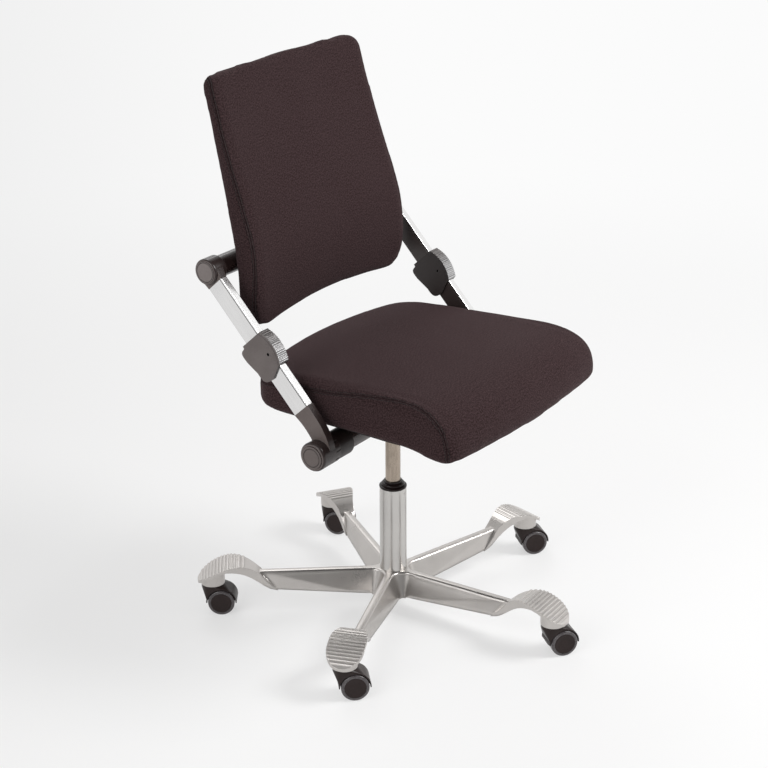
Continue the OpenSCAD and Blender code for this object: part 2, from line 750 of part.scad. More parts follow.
module upper_fitting(right) {
    color(c_plastic) on_side(right) difference() {
        union() {
            on_strut() {
                side_plate(strut_w/2) polygon([[strut_len, -strut_d/2], [strut_len, strut_d/2],
                    [head_s - 3, head_n + head_r - slip], [head_s - 3, head_n - head_r + slip]]);
                tongue(strut_len - tongue_len, strut_len + 2);
            }
            translate([0, head_y, head_z]) rimmed(head_in_x, head_out_x, head_r, head_rim);
        }
        translate([0, head_y, head_z]) {
            extrude_x(head_out_x - cap_depth, head_out_x + 4) circle(head_r - head_rim);
            extrude_x(head_in_x - 1, tube_end_x) circle(tube_r + run);
        }
        on_strut() screw_hole(strut_len - tongue_len/2);
    }
}

module end_cap(right) {
    color(c_plastic) on_side(right) translate([0, head_y, head_z])
        rimmed(head_out_x - cap_depth + skin, head_out_x + 0.8, head_r - head_rim - slip, 0.8);
}

module cross_tube() {
    color(c_black) translate([0, head_y, head_z]) along_x() difference() {
        cylinder(h = 2*(tube_end_x - skin), r = tube_r, center = true);
        cylinder(h = 3*tube_end_x, r = tube_r - beam_wall, center = true);
    }
}

module frame_screws() {
    color(c_steel) for (right = [false, true]) on_side(right) on_strut()
        for (s = [tongue_len/2, strut_len - tongue_len/2]) translate([-strut_w/2, s, 0]) rotate([0, 90, 0]) {
            translate([0, 0, -screw_head_h]) cylinder(h = screw_head_h - skin, r = screw_head_r, $fn = 32);
            translate([0, 0, -slip]) cylinder(h = 9, r = screw_r, $fn = 32);
        }
}

// Seat: stations run from the rear edge over the crest and down the front edge
seat_rear_y = 152;
seat_rear_bow = 24;
seat_front_y = -290;
rear_corner = 58;
front_corner = 26;
seat_run = concat(
    [for (i = [0:3]) bez([[seat_rear_y, seat_low_z + 36], [seat_rear_y, seat_low_z + 50],
        [seat_rear_y - 2, seat_low_z + 56], [seat_rear_y - 14, seat_low_z + 60]], i/3)],
    [for (i = [1:10]) bez([[seat_rear_y - 14, seat_low_z + 60], [seat_rear_y - 74, seat_low_z + 73],
        [-70, seat_low_z + 81], [-180, seat_low_z + 81]], i/10)],
    [for (i = [1:9]) bez([[-180, seat_low_z + 81], [-243, seat_low_z + 81],
        [seat_front_y + 6, seat_low_z + 60], [seat_front_y, seat_low_z + 5]], i/9)]);
function seat_width(y) = at([[seat_front_y, seat_front_w/2], [-100, seat_mid_w/2], [60, seat_rear_w/2 + 11],
    [seat_rear_y, seat_rear_w/2 + 8]], y);
function rounding(d, r) = d >= r ? 0 : r - sqrt(max(0, r*r - (r - d)*(r - d)));
function seat_half(y) = seat_width(y) - rounding(seat_rear_y - y, rear_corner)
    - rounding(y - seat_front_y, front_corner);
function seat_under(y) = seat_low_z - 10*smooth((pan_front - y)/70) + 6*smooth((-268 - y)/18);
function seat_shift(x, y, half) = let (across = 1 - pow(x/half, 2))
    seat_rear_bow*across*smooth((y - 40)/110) - seat_bow*across*smooth((-120 - y)/150);

// A cushion's cross-section: a box with rounded corners, its side walls drawn in a little.
// Points are [across, up] from 0 at the low face, in a fixed number whatever the size.
function quarter(c, r, a) = [for (i = [0:4]) c + r*[cos(a + 22.5*i), sin(a + 22.5*i)]];
function box_section(half, h, r_low, r_high, pull) = concat(
    quarter([half - r_low, r_low], r_low, -90),
    [for (t = [0.35, 0.65]) [half - pull, r_low + (h - r_low - r_high)*t]],
    quarter([half - r_high, h - r_high], r_high, 0),
    [for (i = [1:7]) [(half - r_high)*(1 - i/4), h]],
    quarter([-half + r_high, h - r_high], r_high, 90),
    [for (t = [0.65, 0.35]) [-half + pull, r_low + (h - r_low - r_high)*t]],
    quarter([-half + r_low, r_low], r_low, 180),
    [for (i = [1:5]) [(half - r_low)*(-1 + i/3), 0]]);

// Skins a row of rings of equal length into a closed solid
module loft(rings) {
    n = len(rings[0]);
    m = len(rings);
    points = concat([for (ring = rings, p = ring) p], [mean(rings[0]), mean(rings[m - 1])]);
    faces = concat(
        [for (k = [0:m - 2], i = [0:n - 1]) let (a = k*n + i, b = k*n + (i + 1) % n)
            each [[a, b, b + n], [a, b + n, a + n]]],
        [for (i = [0:n - 1]) [n*m, (i + 1) % n, i]],
        [for (i = [0:n - 1]) [n*m + 1, (m - 1)*n + i, (m - 1)*n + (i + 1) % n]]);
    polyhedron(points, faces, convexity = 6);
}
function mean(ring) = [for (k = [0:2]) let (c = [for (p = ring) p[k]]) (min(c) + max(c))/2];

module seat_cushion() {
    rings = [for (k = [len(seat_run) - 1:-1:0]) let (y = seat_run[k][0], half = seat_half(y),
            low = seat_under(y), h = seat_run[k][1] - low,
            end = min(1, min(seat_rear_y - y, y - seat_front_y)/14 + 0.35))
        [for (q = box_section(half, h, min(8, h/3), min(18, h/2.5), 2.5))
            let (across = 1 - pow(q[0]/half, 2), crown = q[1] > h/2 ? seat_crown*across*end : 0)
                [q[0], y + seat_shift(q[0], y, half), low + q[1] + crown]]];
    color(c_fabric) loft(rings);
}

pan_inset = 22;
pan_front = -185;
function pan_half(y) = seat_half(y) - pan_inset;
pan_edge = [for (i = [0:16]) let (y = pan_front + i*(seat_rear_y - 4 - pan_front)/16)
    [pan_half(y) - rounding(y - pan_front, 30), y]];
shoe_x = 92;
shoe_ys = [-110, 60];
pan_low = plate_top_z + seat_gap;
lip_t = 3;
shoe_low = plate_low_z - seat_gap - lip_t;
module shoe_places() {
    for (x = [-1, 1], y = shoe_ys) translate([x*(shoe_x + 6), y, 0]) children();
}

module seat_pan() {
    color(c_black) difference() {
        translate([0, 0, pan_low]) linear_extrude(seat_low_z - seat_gap - pan_low)
            polygon(concat(pan_edge, [for (i = [16:-1:0]) [-pan_edge[i][0], pan_edge[i][1]]]));
        shoe_places() translate([0, 0, pan_low - 1]) cylinder(h = 5, r = screw_hole_r, $fn = 32);
    }
}

// The plate that tilts on the beam: two ears under a flat tray with a slot
plate_front = -150;
plate_rear = 92;
module seat_plate() {
    ear_x = housing_w/2 + seat_gap;
    color(c_black) {
        translate([0, 0, plate_low_z]) linear_extrude(seat_plate_t) difference() {
            rounded_plan(shoe_x, plate_front, plate_rear, 12);
            rounded_plan(34, 28, 62, 10);
            rounded_plan(44, -124, -96, 10);
        }
        for (side = [-1, 1]) translate([0, -tilt_y, tilt_z]) scale([side, 1, 1])
            extrude_x(ear_x, ear_x + ear_t) difference() {
                union() {
                    circle(ear_r);
                    polygon([[-ear_r, 0], [ear_r, 0], [ear_r + 26, plate_low_z - tilt_z + 1],
                        [-ear_r - 26, plate_low_z - tilt_z + 1]]);
                }
                circle(beam_r + run);
            }
    }
}

// Four shoes screwed under the pan hold it to the plate's edges and let it slide
module slide_shoes() {
    shoe_len = 30;
    color(c_plastic) for (x = [-1, 1], y = shoe_ys) scale([x, 1, 1]) translate([shoe_x, y, shoe_low])
        difference() {
            union() {
                translate([seat_gap, -shoe_len/2, 0]) cube([14, shoe_len, pan_low - skin - shoe_low]);
                translate([-7, -shoe_len/2, 0]) cube([8, shoe_len, lip_t]);
            }
            translate([6, 0, -1]) cylinder(h = 20, r = screw_hole_r, $fn = 32);
        }
}

module seat_screws() {
    color(c_steel) shoe_places() translate([0, 0, shoe_low]) {
        translate([0, 0, -screw_head_h]) cylinder(h = screw_head_h - skin, r = screw_head_r, $fn = 32);
        translate([0, 0, -slip]) cylinder(h = pan_low + 3 - shoe_low, r = screw_r, $fn = 32);
    }
}

// Backrest: its front and rear faces as curves in the side view, given as [height, y].
// Both are measured from a line that stays just ahead of the cross tube.
tube_gap = 1;
tube_line = head_y - tube_r - tube_gap;
lumbar_z = back_low_z + 176;
bend_z = head_z + 41;
face_front = concat(
    [for (i = [0:8]) flip(bez([[tube_line - 44, back_low_z], [tube_line - 58, back_low_z + 56],
        [tube_line - 62, back_low_z + 116], [tube_line - 43, lumbar_z]], i/8))],
    [for (i = [1:12]) flip(bez([[tube_line - 43, lumbar_z], [tube_line - 28, lumbar_z + 52],
        [tube_line + 14, back_high_z - 104], [tube_line + 39, back_high_z]], i/12))]);
face_rear = concat(
    [for (i = [0:8]) flip(bez([[tube_line - 3, back_low_z], [tube_line - 5, back_low_z + 56],
        [tube_line - 4, bend_z - 55], [tube_line + 6, bend_z]], i/8))],
    [for (i = [1:12]) flip(bez([[tube_line + 6, bend_z], [tube_line + 19, bend_z + 55],
        [tube_line + 49, back_high_z - 94], [tube_line + 74, back_high_z]], i/12))]);
function flip(p) = [p[1], p[0]];
back_top_corner = 24;
back_low_corner = 46;
function back_width(z) = at([[back_low_z, back_low_w/2 - 4], [back_low_z + 60, back_low_w/2],
    [back_low_z + 150, back_low_w/2 - 1], [back_high_z, back_top_w/2]], z);
function back_half(z) = back_width(z) - rounding(z - back_low_z, back_low_corner)
    - rounding(back_high_z - z, back_top_corner);
function back_lift(x, z) = let (across = 1 - pow(x/(back_low_w/2), 2))
    back_arch*across*pow(max(0, 1 - (z - back_low_z)/120), 2)
    + 7*across*pow(max(0, 1 - (back_high_z - z)/120), 2);
edge_r = 9;
back_stations = concat([for (d = [0, 2, 6, 12]) back_low_z + d], [for (i = [0:15])
    back_low_z + 20 + i*(back_high_z - back_low_z - 40)/15], [for (d = [12, 6, 2, 0]) back_high_z - d]);

module back_cushion() {
    rings = [for (z = back_stations) let (half = back_half(z), d = min(z - back_low_z, back_high_z - z),
            slim = rounding(d, edge_r), deep = at(face_rear, z) - at(face_front, z) - 2*slim,
            sunk = d >= shell_inset - 4 ? shell_t + slip + seat_gap : 0)
        [for (q = box_section(half, deep, min(9, deep/3), min(13, deep/3), 2)) let (x = q[0],
                across = 1 - pow(x/half, 2), lifted = z + back_lift(x, z),
                y = at(face_rear, lifted) - slim - q[1] - (q[1] < 1 && abs(x) < half - 8 ? sunk : 0)
                    + (q[1] > deep/2 ? back_dish*across : 0))
            [x, y, lifted]]];
    color(c_fabric) loft(rings);
}

// The rear shell follows the cushion's back face, set in from its edges
shell_inset = 16;
function shell_half(z) = back_width(z) - shell_inset
    - rounding(z - back_low_z - shell_inset, back_low_corner - 10)
    - rounding(back_high_z - shell_inset - z, back_top_corner - 10);
shell_edge = [for (i = [0:28]) let (t = (1 - cos(i*180/28))/2,
        z = back_low_z + shell_inset + t*(back_high_z - back_low_z - 2*shell_inset)) [shell_half(z), z]];
function lifted(x, z) = [x, z + back_lift(x, z)];
module shell_outline() {
    low = shell_edge[0];
    high = shell_edge[28];
    polygon(concat([for (p = shell_edge) lifted(p[0], p[1])],
        [for (i = [1:11]) lifted(high[0]*(1 - i/6), high[1])],
        [for (i = [28:-1:0]) lifted(-shell_edge[i][0], shell_edge[i][1])],
        [for (i = [1:11]) lifted(low[0]*(i/6 - 1), low[1])]));
}
function face_offset(d) = concat([for (p = face_rear) [p[1], p[0]]],
    [for (i = [len(face_rear) - 1:-1:0]) [face_rear[i][1] + d, face_rear[i][0]]]);

module back_shell() {
    color(c_black) difference() {
        intersection() {
            extrude_x(-back_low_w/2, back_low_w/2) polygon(face_offset(-shell_t));
            translate([0, 2*head_y, 0]) rotate([90, 0, 0]) linear_extrude(2*head_y) shell_outline();
        }
        saddle_screw_places() translate([0, 0, -12]) cylinder(h = 30, r = screw_hole_r, $fn = 32);
    }
}

// Two saddles strap the backrest to the cross tube
saddle_x = 92;
saddle_w = 36;
saddle_reach = 42;
module saddle_screw_places() {
    for (x = [-saddle_x, saddle_x], side = [-1, 1]) let (z = head_z + side*(saddle_reach - 9))
        translate([x, at(face_rear, z), z]) rotate([-90, 0, 0]) children();
}
module back_saddles() {
    flange_t = 4;
    color(c_black) difference() {
        intersection() {
            union() for (x = [-saddle_x, saddle_x]) {
                translate([0, head_y, head_z]) extrude_x(x - saddle_w/2, x + saddle_w/2) {
                    circle(tube_r + 5);
                    translate([-tube_r - 3, -tube_r - 5]) square([tube_r + 3, 2*tube_r + 10]);
                }
                extrude_x(x - saddle_w/2, x + saddle_w/2) intersection() {
                    polygon(face_offset(flange_t + seat_gap));
                    translate([head_y - 60, head_z - saddle_reach]) square([90, 2*saddle_reach]);
                }
            }
            extrude_x(-200, 200) polygon(concat([for (p = face_rear) [p[1] + seat_gap, p[0]]],
                [[head_y + 100, back_high_z], [head_y + 100, back_low_z]]));
        }
        translate([0, head_y, head_z]) along_x() cylinder(h = 400, r = tube_r + run, center = true);
        saddle_screw_places() translate([0, 0, -12]) cylinder(h = 30, r = screw_hole_r, $fn = 32);
    }
}

module back_screws() {
    color(c_steel) saddle_screw_places() {
        translate([0, 0, 4.9]) cylinder(h = 2.4, r = screw_head_r, $fn = 32);
        translate([0, 0, -shell_t + 0.5]) cylinder(h = 9, r = screw_r, $fn = 32);
    }
}

star_base();
column_tube();
guide_collar();
thrust_bearing();
retaining_clip();
for (i = [1:5]) {
    castor_hood(i);
    castor_pins(i);
    castor_wheel(i, 1);
    castor_wheel(i, -1);
}
lift_rod();
pressure_tube();
tilt_housing();
mechanism_cover();
beam_bushes();
tension_knob();
height_lever();
lever_paddle();
tilt_beam();
lower_arm(true);  // right_lower_arm
lower_arm(false);  // left_lower_arm
hub_cap(true);  // right_hub_cap
hub_cap(false);  // left_hub_cap
sleeve(true);  // right_sleeve
sleeve(false);  // left_sleeve
strut(true);  // right_strut
strut(false);  // left_strut
block(true);  // right_block
block(false);  // left_block
upper_fitting(true);  // right_upper_fitting
upper_fitting(false);  // left_upper_fitting
end_cap(true);  // right_end_cap
end_cap(false);  // left_end_cap
cross_tube();
frame_screws();
seat_plate();
seat_pan();
slide_shoes();
seat_cushion();
seat_screws();
back_shell();
back_cushion();
back_saddles();
back_screws();
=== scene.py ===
# The looks of a swivel office chair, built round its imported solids. Everything is in metres.
import math

import bmesh
import bpy
import numpy as np
from mathutils import Matrix, Vector
from mathutils.bvhtree import BVHTree
from mathutils.kdtree import KDTree


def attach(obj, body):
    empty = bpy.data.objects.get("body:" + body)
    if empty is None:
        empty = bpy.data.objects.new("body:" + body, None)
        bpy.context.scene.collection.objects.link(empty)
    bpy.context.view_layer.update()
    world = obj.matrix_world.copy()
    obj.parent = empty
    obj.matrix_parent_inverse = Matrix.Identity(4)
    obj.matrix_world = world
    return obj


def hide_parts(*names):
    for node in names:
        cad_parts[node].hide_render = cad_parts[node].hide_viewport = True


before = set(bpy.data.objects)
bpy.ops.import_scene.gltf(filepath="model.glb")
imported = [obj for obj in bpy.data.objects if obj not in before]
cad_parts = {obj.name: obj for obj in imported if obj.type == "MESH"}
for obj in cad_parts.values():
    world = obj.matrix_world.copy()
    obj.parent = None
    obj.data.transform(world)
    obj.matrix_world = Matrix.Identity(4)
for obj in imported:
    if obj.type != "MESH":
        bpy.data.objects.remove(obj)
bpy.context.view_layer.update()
MM = 0.001


# Camera
VIEW_TURN = math.radians(-55.256)
VIEW_HEIGHT = math.radians(22.271)
VIEW_ROLL = math.radians(-0.324)
VIEW_CENTRE = Vector((0, 0, 0.48))
VIEW_SHIFT = (0.015475, 0.027924)
VIEW_DISTANCE = 3.44806


def place_camera():
    """The photographer's place: in front of the chair, to the sitter's right and above."""
    camera = bpy.data.objects.new("camera", bpy.data.cameras.new("camera"))
    bpy.context.scene.collection.objects.link(camera)
    back = Vector((math.sin(VIEW_TURN)*math.cos(VIEW_HEIGHT), -math.cos(VIEW_TURN)*math.cos(VIEW_HEIGHT),
                   math.sin(VIEW_HEIGHT)))
    level = Vector((math.cos(VIEW_TURN), math.sin(VIEW_TURN), 0))
    upright = back.cross(level)
    right = level*math.cos(VIEW_ROLL) + upright*math.sin(VIEW_ROLL)
    up = upright*math.cos(VIEW_ROLL) - level*math.sin(VIEW_ROLL)
    eye = VIEW_CENTRE - right*VIEW_SHIFT[0] - up*VIEW_SHIFT[1] + back*VIEW_DISTANCE
    axes = Matrix((right, up, back)).transposed().to_4x4()
    camera.matrix_world = Matrix.Translation(eye) @ axes
    camera.data.lens = 89.68
    camera.data.sensor_width = 36
    camera.data.clip_end = 40
    bpy.context.scene.camera = camera


place_camera()


# Surface finishes
class Value:
    """One output of a node. Arithmetic on values adds the nodes that work it out."""

    def __init__(self, finish, socket):
        self.finish = finish
        self.socket = socket

    def __add__(self, other):
        return self.finish.maths("ADD", self, other)

    def __sub__(self, other):
        return self.finish.maths("SUBTRACT", self, other)

    def __rsub__(self, other):
        return self.finish.maths("SUBTRACT", other, self)

    def __mul__(self, other):
        return self.finish.maths("MULTIPLY", self, other)

    def __truediv__(self, other):
        return self.finish.maths("DIVIDE", self, other)

    def __pow__(self, power):
        return self.finish.maths("POWER", self, power)

    def __neg__(self):
        return self.finish.maths("MULTIPLY", self, -1)

    __radd__ = __add__
    __rmul__ = __mul__


class Finish:
    """A material while it is being made, or the world's nodes where a tree is given."""

    def __init__(self, name, tree=None):
        if tree is None:
            self.material = bpy.data.materials.new(name)
            self.material.use_nodes = True
            tree = self.material.node_tree
        self.nodes, self.links = tree.nodes, tree.links
        self.nodes.clear()

    def node(self, kind, settings=(), inputs=(), output=0):
        """Adds a node. Its settings come first, then a number or a value for each input."""
        made = self.nodes.new(kind)
        for name, setting in dict(settings).items():
            setattr(made, name, setting)
        for name, value in dict(inputs).items():
            if isinstance(value, Value):
                self.links.new(value.socket, made.inputs[name])
            else:
                made.inputs[name].default_value = value
        return Value(self, made.outputs[output]) if len(made.outputs) else None

    def maths(self, operation, first, second=0.0, third=0.0):
        return self.node("ShaderNodeMath", {"operation": operation}, {0: first, 1: second, 2: third})

    def sine(self, value):
        return self.maths("SINE", value)

    def size_of(self, value):
        return self.maths("ABSOLUTE", value)

    def larger(self, first, second):
        return self.maths("MAXIMUM", first, second)

    def rising(self, value, low, high):
        """0 below low and 1 above high, with a smooth rise between."""
        return self.node("ShaderNodeMapRange", {"interpolation_type": "SMOOTHSTEP"},
                         {"Value": value, "From Min": low, "From Max": high})

    def band(self, value, centre, half, soft):
        """1 within half of the centre, falling smoothly to 0 over soft."""
        return 1 - self.rising(self.size_of(value - centre), half, half + soft)

    def place(self, centre=(0, 0, 0), turn=(0, 0, 0), size=(1, 1, 1)):
        """Position on the object from a centre, turned, and measured in the given sizes."""
        here = self.node("ShaderNodeTexCoord", output="Object")
        return self.node("ShaderNodeMapping", {"vector_type": "TEXTURE"},
                         {"Vector": here, "Location": centre, "Rotation": turn, "Scale": size})

    def apart(self, vector):
        """The three numbers of a vector."""
        return [self.node("ShaderNodeSeparateXYZ", (), {0: vector}, axis) for axis in range(3)]

    def vector_maths(self, operation, first, second=(0, 0, 0)):
        """A number worked out from one vector or two."""
        return self.node("ShaderNodeVectorMath", {"operation": operation}, {0: first, 1: second}, "Value")

    def noise(self, vector, scale, detail=2.0, rough=0.5):
        return self.node("ShaderNodeTexNoise", (),
                         {"Vector": vector, "Scale": scale, "Detail": detail, "Roughness": rough})

    def cells(self, vector, scale, feature="F1"):
        return self.node("ShaderNodeTexVoronoi", {"feature": feature}, {"Vector": vector, "Scale": scale})

    def blend(self, share, first, second):
        """A colour between two, by share."""
        return self.node("ShaderNodeMix", {"data_type": "RGBA"},
                         {0: share, 6: colour(first), 7: colour(second)}, 2)

    def bump(self, height, depth, normal=None):
        """A surface raised by height times depth, in metres."""
        inputs = {"Height": height, "Distance": depth, "Strength": 1.0}
        if normal is not None:
            inputs["Normal"] = normal
        return self.node("ShaderNodeBump", (), inputs)

    def edge(self, reach):
        """(the normal with edges eased over reach, how near an edge is)"""
        eased = self.node("ShaderNodeBevel", {"samples": 6}, {"Radius": reach})
        plain = self.node("ShaderNodeNewGeometry", output="Normal")
        return eased, self.rising(1 - self.vector_maths("DOT_PRODUCT", eased, plain), 0.01, 0.12)

    def faces_out(self):
        """1 on flat sides that look away from the chair's middle plane, 0 on all others; the finishes paint
        these sides lighter, as lit.
        """
        across, _, _ = self.apart(self.place())
        looks, _, _ = self.apart(self.node("ShaderNodeTexCoord", output="Normal"))
        return self.rising(looks*self.maths("SIGN", across), 0.80, 0.96)

    def shader(self, **inputs):
        """A plain shader; names use _ for a space."""
        named = {name.replace("_", " "): colour(value) for name, value in inputs.items()}
        return self.node("ShaderNodeBsdfPrincipled", (), named)

    def surface(self, **inputs):
        """Ends the material in one plain shader."""
        self.node("ShaderNodeOutputMaterial", (), {0: self.shader(**inputs)})
        return self.material


def colour(value):
    """Three numbers become a colour with full cover; anything else stays as it is."""
    return (*value, 1.0) if isinstance(value, (tuple, list)) and len(value) == 3 else value


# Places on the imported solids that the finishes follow
STRUT_TURN = math.radians(47.15)
STRUT_FOOT = (0, 3.1*MM, 492.3*MM)
STRUT_INNER_SIDE = 255.3*MM
STRUT_GROOVE = 15.25*MM
ARCH_CENTRE = (0, 102.7*MM, 558.8*MM)
ARCH_RADIUS = 61*MM
ARCH_RIB_PITCH = 3.4*MM
ACCESSORY_HOLE = (0, 67.55*MM, 581.19*MM)
HUB_CENTRE = (0, -33*MM, 421*MM)
TOP_CENTRE = (0, 197.2*MM, 703.7*MM)
ARM_COUNT = 5
FIRST_ARM = math.radians(272)
ARM_MIDDLE = 150*MM
CASTOR_RADIUS = 339*MM


def satin_metal(name, light, dark, rough, grain, metallic=1.0):
    """Painted or blasted metal: fine flake, faint handling marks and brighter worn edges."""
    f = Finish(name)
    here = f.place()
    flake = f.noise(here, 1600, 2, 0.6)
    cloud = f.noise(here, 14, 4, 0.6)
    eased, edge = f.edge(0.7*MM)
    tone = f.blend(f.rising(flake*0.5 + cloud*0.5, 0.35, 0.65), dark, light)
    worn = f.blend(edge*0.45, tone, [min(1, c*1.18) for c in light])
    return f.surface(Base_Color=worn, Metallic=metallic,
                     Roughness=rough + 0.10*(cloud - 0.5) + 0.05*(flake - 0.5),
                     Normal=f.bump(flake, grain, eased))


def moulded(name, light, dark, rough, grain, grain_size, edge_light=1.25):
    """Injection-moulded plastic: a spark-eroded grain, slightly polished at its edges."""
    f = Finish(name)
    here = f.place()
    pits = f.cells(here, 1/grain_size, "SMOOTH_F1")
    cloud = f.noise(here, 22, 3, 0.55)
    dust = f.noise(here, 260, 4, 0.7)
    eased, edge = f.edge(0.5*MM)
    tone = f.blend(f.rising(cloud*0.6 + dust*0.4, 0.36, 0.64), dark, light)
    rubbed = f.blend(edge*0.5, tone, [min(1, c*edge_light) for c in light])
    return f.surface(Base_Color=rubbed, Roughness=rough + 0.12*(dust - 0.5) - 0.12*edge,
                     Specular_IOR_Level=0.22, Normal=f.bump(pits, grain, eased))


def cast_silver():
    """Painted base: satin, with soft rounded edges on the arms, crisp ribs on the feet with painted shade
    in their valleys, and a fine line along both edges of each arm's ridge, pressed in and painted darker as
    shade."""
    f = Finish("silver_casting")
    here = f.place()
    flake = f.noise(here, 1600, 2, 0.6)
    cloud = f.noise(here, 14, 4, 0.6)
    x, y, z = f.apart(f.place(turn=(0, 0, FIRST_ARM)))
    reach = (x*x + y*y)**0.5
    on_arm = f.band(reach, ARM_MIDDLE, 92*MM, 10*MM)
    on_foot = f.rising(reach, 262*MM, 272*MM)*(1 - on_arm)
    turn = f.maths("WRAP", f.maths("ARCTAN2", y, x), math.pi/ARM_COUNT, -math.pi/ARM_COUNT)
    aside = reach*f.sine(turn)
    line = f.band(f.size_of(aside), 6.0*MM, 0.4*MM, 1.0*MM)*f.rising(z, 60*MM, 62*MM)*on_arm
    eased, edge = f.edge(0.7*MM)
    round_edge = f.node("ShaderNodeBevel", {"samples": 16}, {"Radius": 9*MM})
    normal = f.node("ShaderNodeMix", {"data_type": "VECTOR"}, {0: on_arm, 4: eased, 5: round_edge}, 1)
    open_to_air = f.node("ShaderNodeAmbientOcclusion", {"samples": 8, "only_local": True},
                         {"Distance": 3*MM}, "AO")
    # Painted shade: the valleys between the feet's ribs, found by occlusion, are painted darker.
    rib_valley_shade = on_foot*(1 - f.rising(open_to_air, 0.45, 0.92))
    tone = f.blend(f.rising(flake*0.5 + cloud*0.5, 0.35, 0.65), (0.49, 0.466, 0.446), (0.56, 0.534, 0.512))
    tone = f.blend(rib_valley_shade*0.6, tone, (0.20, 0.19, 0.18))
    tone = f.blend(edge*0.45*(1 - on_arm), tone, (0.64, 0.62, 0.60))
    # Painted shade: the fine line along the ridge is pressed in and painted darker.
    tone = f.blend(line*0.35, tone, (0.26, 0.245, 0.235))
    return f.surface(Base_Color=tone, Metallic=0.9,
                     Roughness=0.29 + 0.10*(cloud - 0.5) + 0.05*(flake - 0.5),
                     Normal=f.bump(flake*0.002 - line*0.12, 1*MM, normal))


def moulded_part(name, light, dark, ring_centre=None, ring_radius=0.0):
    """Grey plastic part: grained and matt on its outer flats and glossy elsewhere, with the outer flats
    painted grey as lit and all other faces painted dark as shade, edges painted lighter as a highlight, and
    a groove round a cap, pressed in and painted darker as shade, where a ring is given."""
    f = Finish(name)
    here = f.place()
    flat = f.faces_out()
    pits = f.cells(here, 1/(0.8*MM), "SMOOTH_F1")
    cloud = f.noise(here, 22, 3, 0.55)
    dust = f.noise(here, 260, 4, 0.7)
    eased, edge = f.edge(0.6*MM)
    grey = f.blend(f.rising(cloud*0.6 + dust*0.4, 0.36, 0.64), dark, light)
    # Painted light and shade: the outer flats are painted grey as lit, and all other faces near black as in
    # shade.
    tone = f.blend(flat, (0.026, 0.0175, 0.0165), grey)
    # Painted highlight: edges are painted lighter.
    tone = f.blend(edge*0.5, tone, [min(1, c*1.5) for c in light])
    height = pits*flat*0.04
    if ring_centre is not None:
        _, along, up = f.apart(f.place(ring_centre))
        shaded_groove = f.band((along*along + up*up)**0.5, ring_radius, 0.35*MM, 0.7*MM)
        # Painted shade: the ring groove is painted darker as well as pressed in.
        tone = f.blend(shaded_groove*0.85, tone, (0.020, 0.014, 0.013))
        height = height - shaded_groove*0.8
    return f.surface(Base_Color=tone, Roughness=0.24 + 0.16*flat + 0.12*(dust - 0.5) - 0.08*edge,
                     Specular_IOR_Level=0.35, Normal=f.bump(height, 1*MM, eased))


def aluminium():
    """Anodised strut: fine drawing lines along its length, a line along its front edge painted dark as the
    shade of a groove, and its inner side dark brown and not metallic."""
    f = Finish("drawn_aluminium")
    lines = f.noise(f.place(STRUT_FOOT, (STRUT_TURN, 0, 0), (1, 90, 1)), 1500, 3, 0.6)
    cloud = f.noise(f.place(), 9, 3, 0.5)
    _, _, front = f.apart(f.place(STRUT_FOOT, (STRUT_TURN, 0, 0)))
    across, _, _ = f.apart(f.place())
    # Inner side: dark brown and not metallic.
    dark_inner_side = 1 - f.rising(f.size_of(across), STRUT_INNER_SIDE, STRUT_INNER_SIDE + 0.3*MM)
    shaded_groove = f.band(front, STRUT_GROOVE, 0.7*MM, 0.4*MM)
    eased, edge = f.edge(0.5*MM)
    tone = f.blend(f.rising(lines*0.5 + cloud*0.5, 0.38, 0.62), (0.76, 0.755, 0.755), (0.83, 0.825, 0.82))
    tone = f.blend(edge*0.4, tone, (0.88, 0.88, 0.88))
    # Painted shade: a line along the front is painted dark as the shade of a groove; it has no bump.
    tone = f.blend(shaded_groove*0.85, tone, (0.16, 0.155, 0.155))
    return f.surface(Base_Color=f.blend(dark_inner_side, tone, (0.046, 0.033, 0.031)), Metallic=1 - dark_inner_side,
                     Roughness=0.20 + 0.05*(lines - 0.5) + 0.04*(cloud - 0.5) + 0.15*dark_inner_side,
                     Normal=f.bump(lines, 0.002*MM, eased))


def piston_steel():
    """Ground and nickelled tube, with faint rings and a film of grease."""
    f = Finish("nickelled_tube")
    rings = f.noise(f.place(size=(30, 30, 1)), 2600, 2, 0.5)
    film = f.noise(f.place(size=(1, 1, 5)), 70, 4, 0.65)
    tone = f.blend(f.rising(film, 0.35, 0.7), (0.42, 0.355, 0.295), (0.30, 0.25, 0.205))
    return f.surface(Base_Color=tone, Metallic=1.0, Roughness=0.24 + 0.18*f.rising(film, 0.4, 0.8),
                     Normal=f.bump(rings, 0.01*MM))


def small_steel():
    """Zinc-plated screws, pins and clips."""
    f = Finish("plated_steel")
    cloud = f.noise(f.place(), 420, 4, 0.7)
    eased, edge = f.edge(0.25*MM)
    tone = f.blend(f.rising(cloud, 0.35, 0.65), (0.44, 0.43, 0.41), (0.60, 0.59, 0.57))
    return f.surface(Base_Color=f.blend(edge*0.4, tone, (0.78, 0.77, 0.75)), Metallic=1.0,
                     Roughness=0.30 + 0.2*(cloud - 0.5), Normal=f.bump(cloud, 0.03*MM, eased))


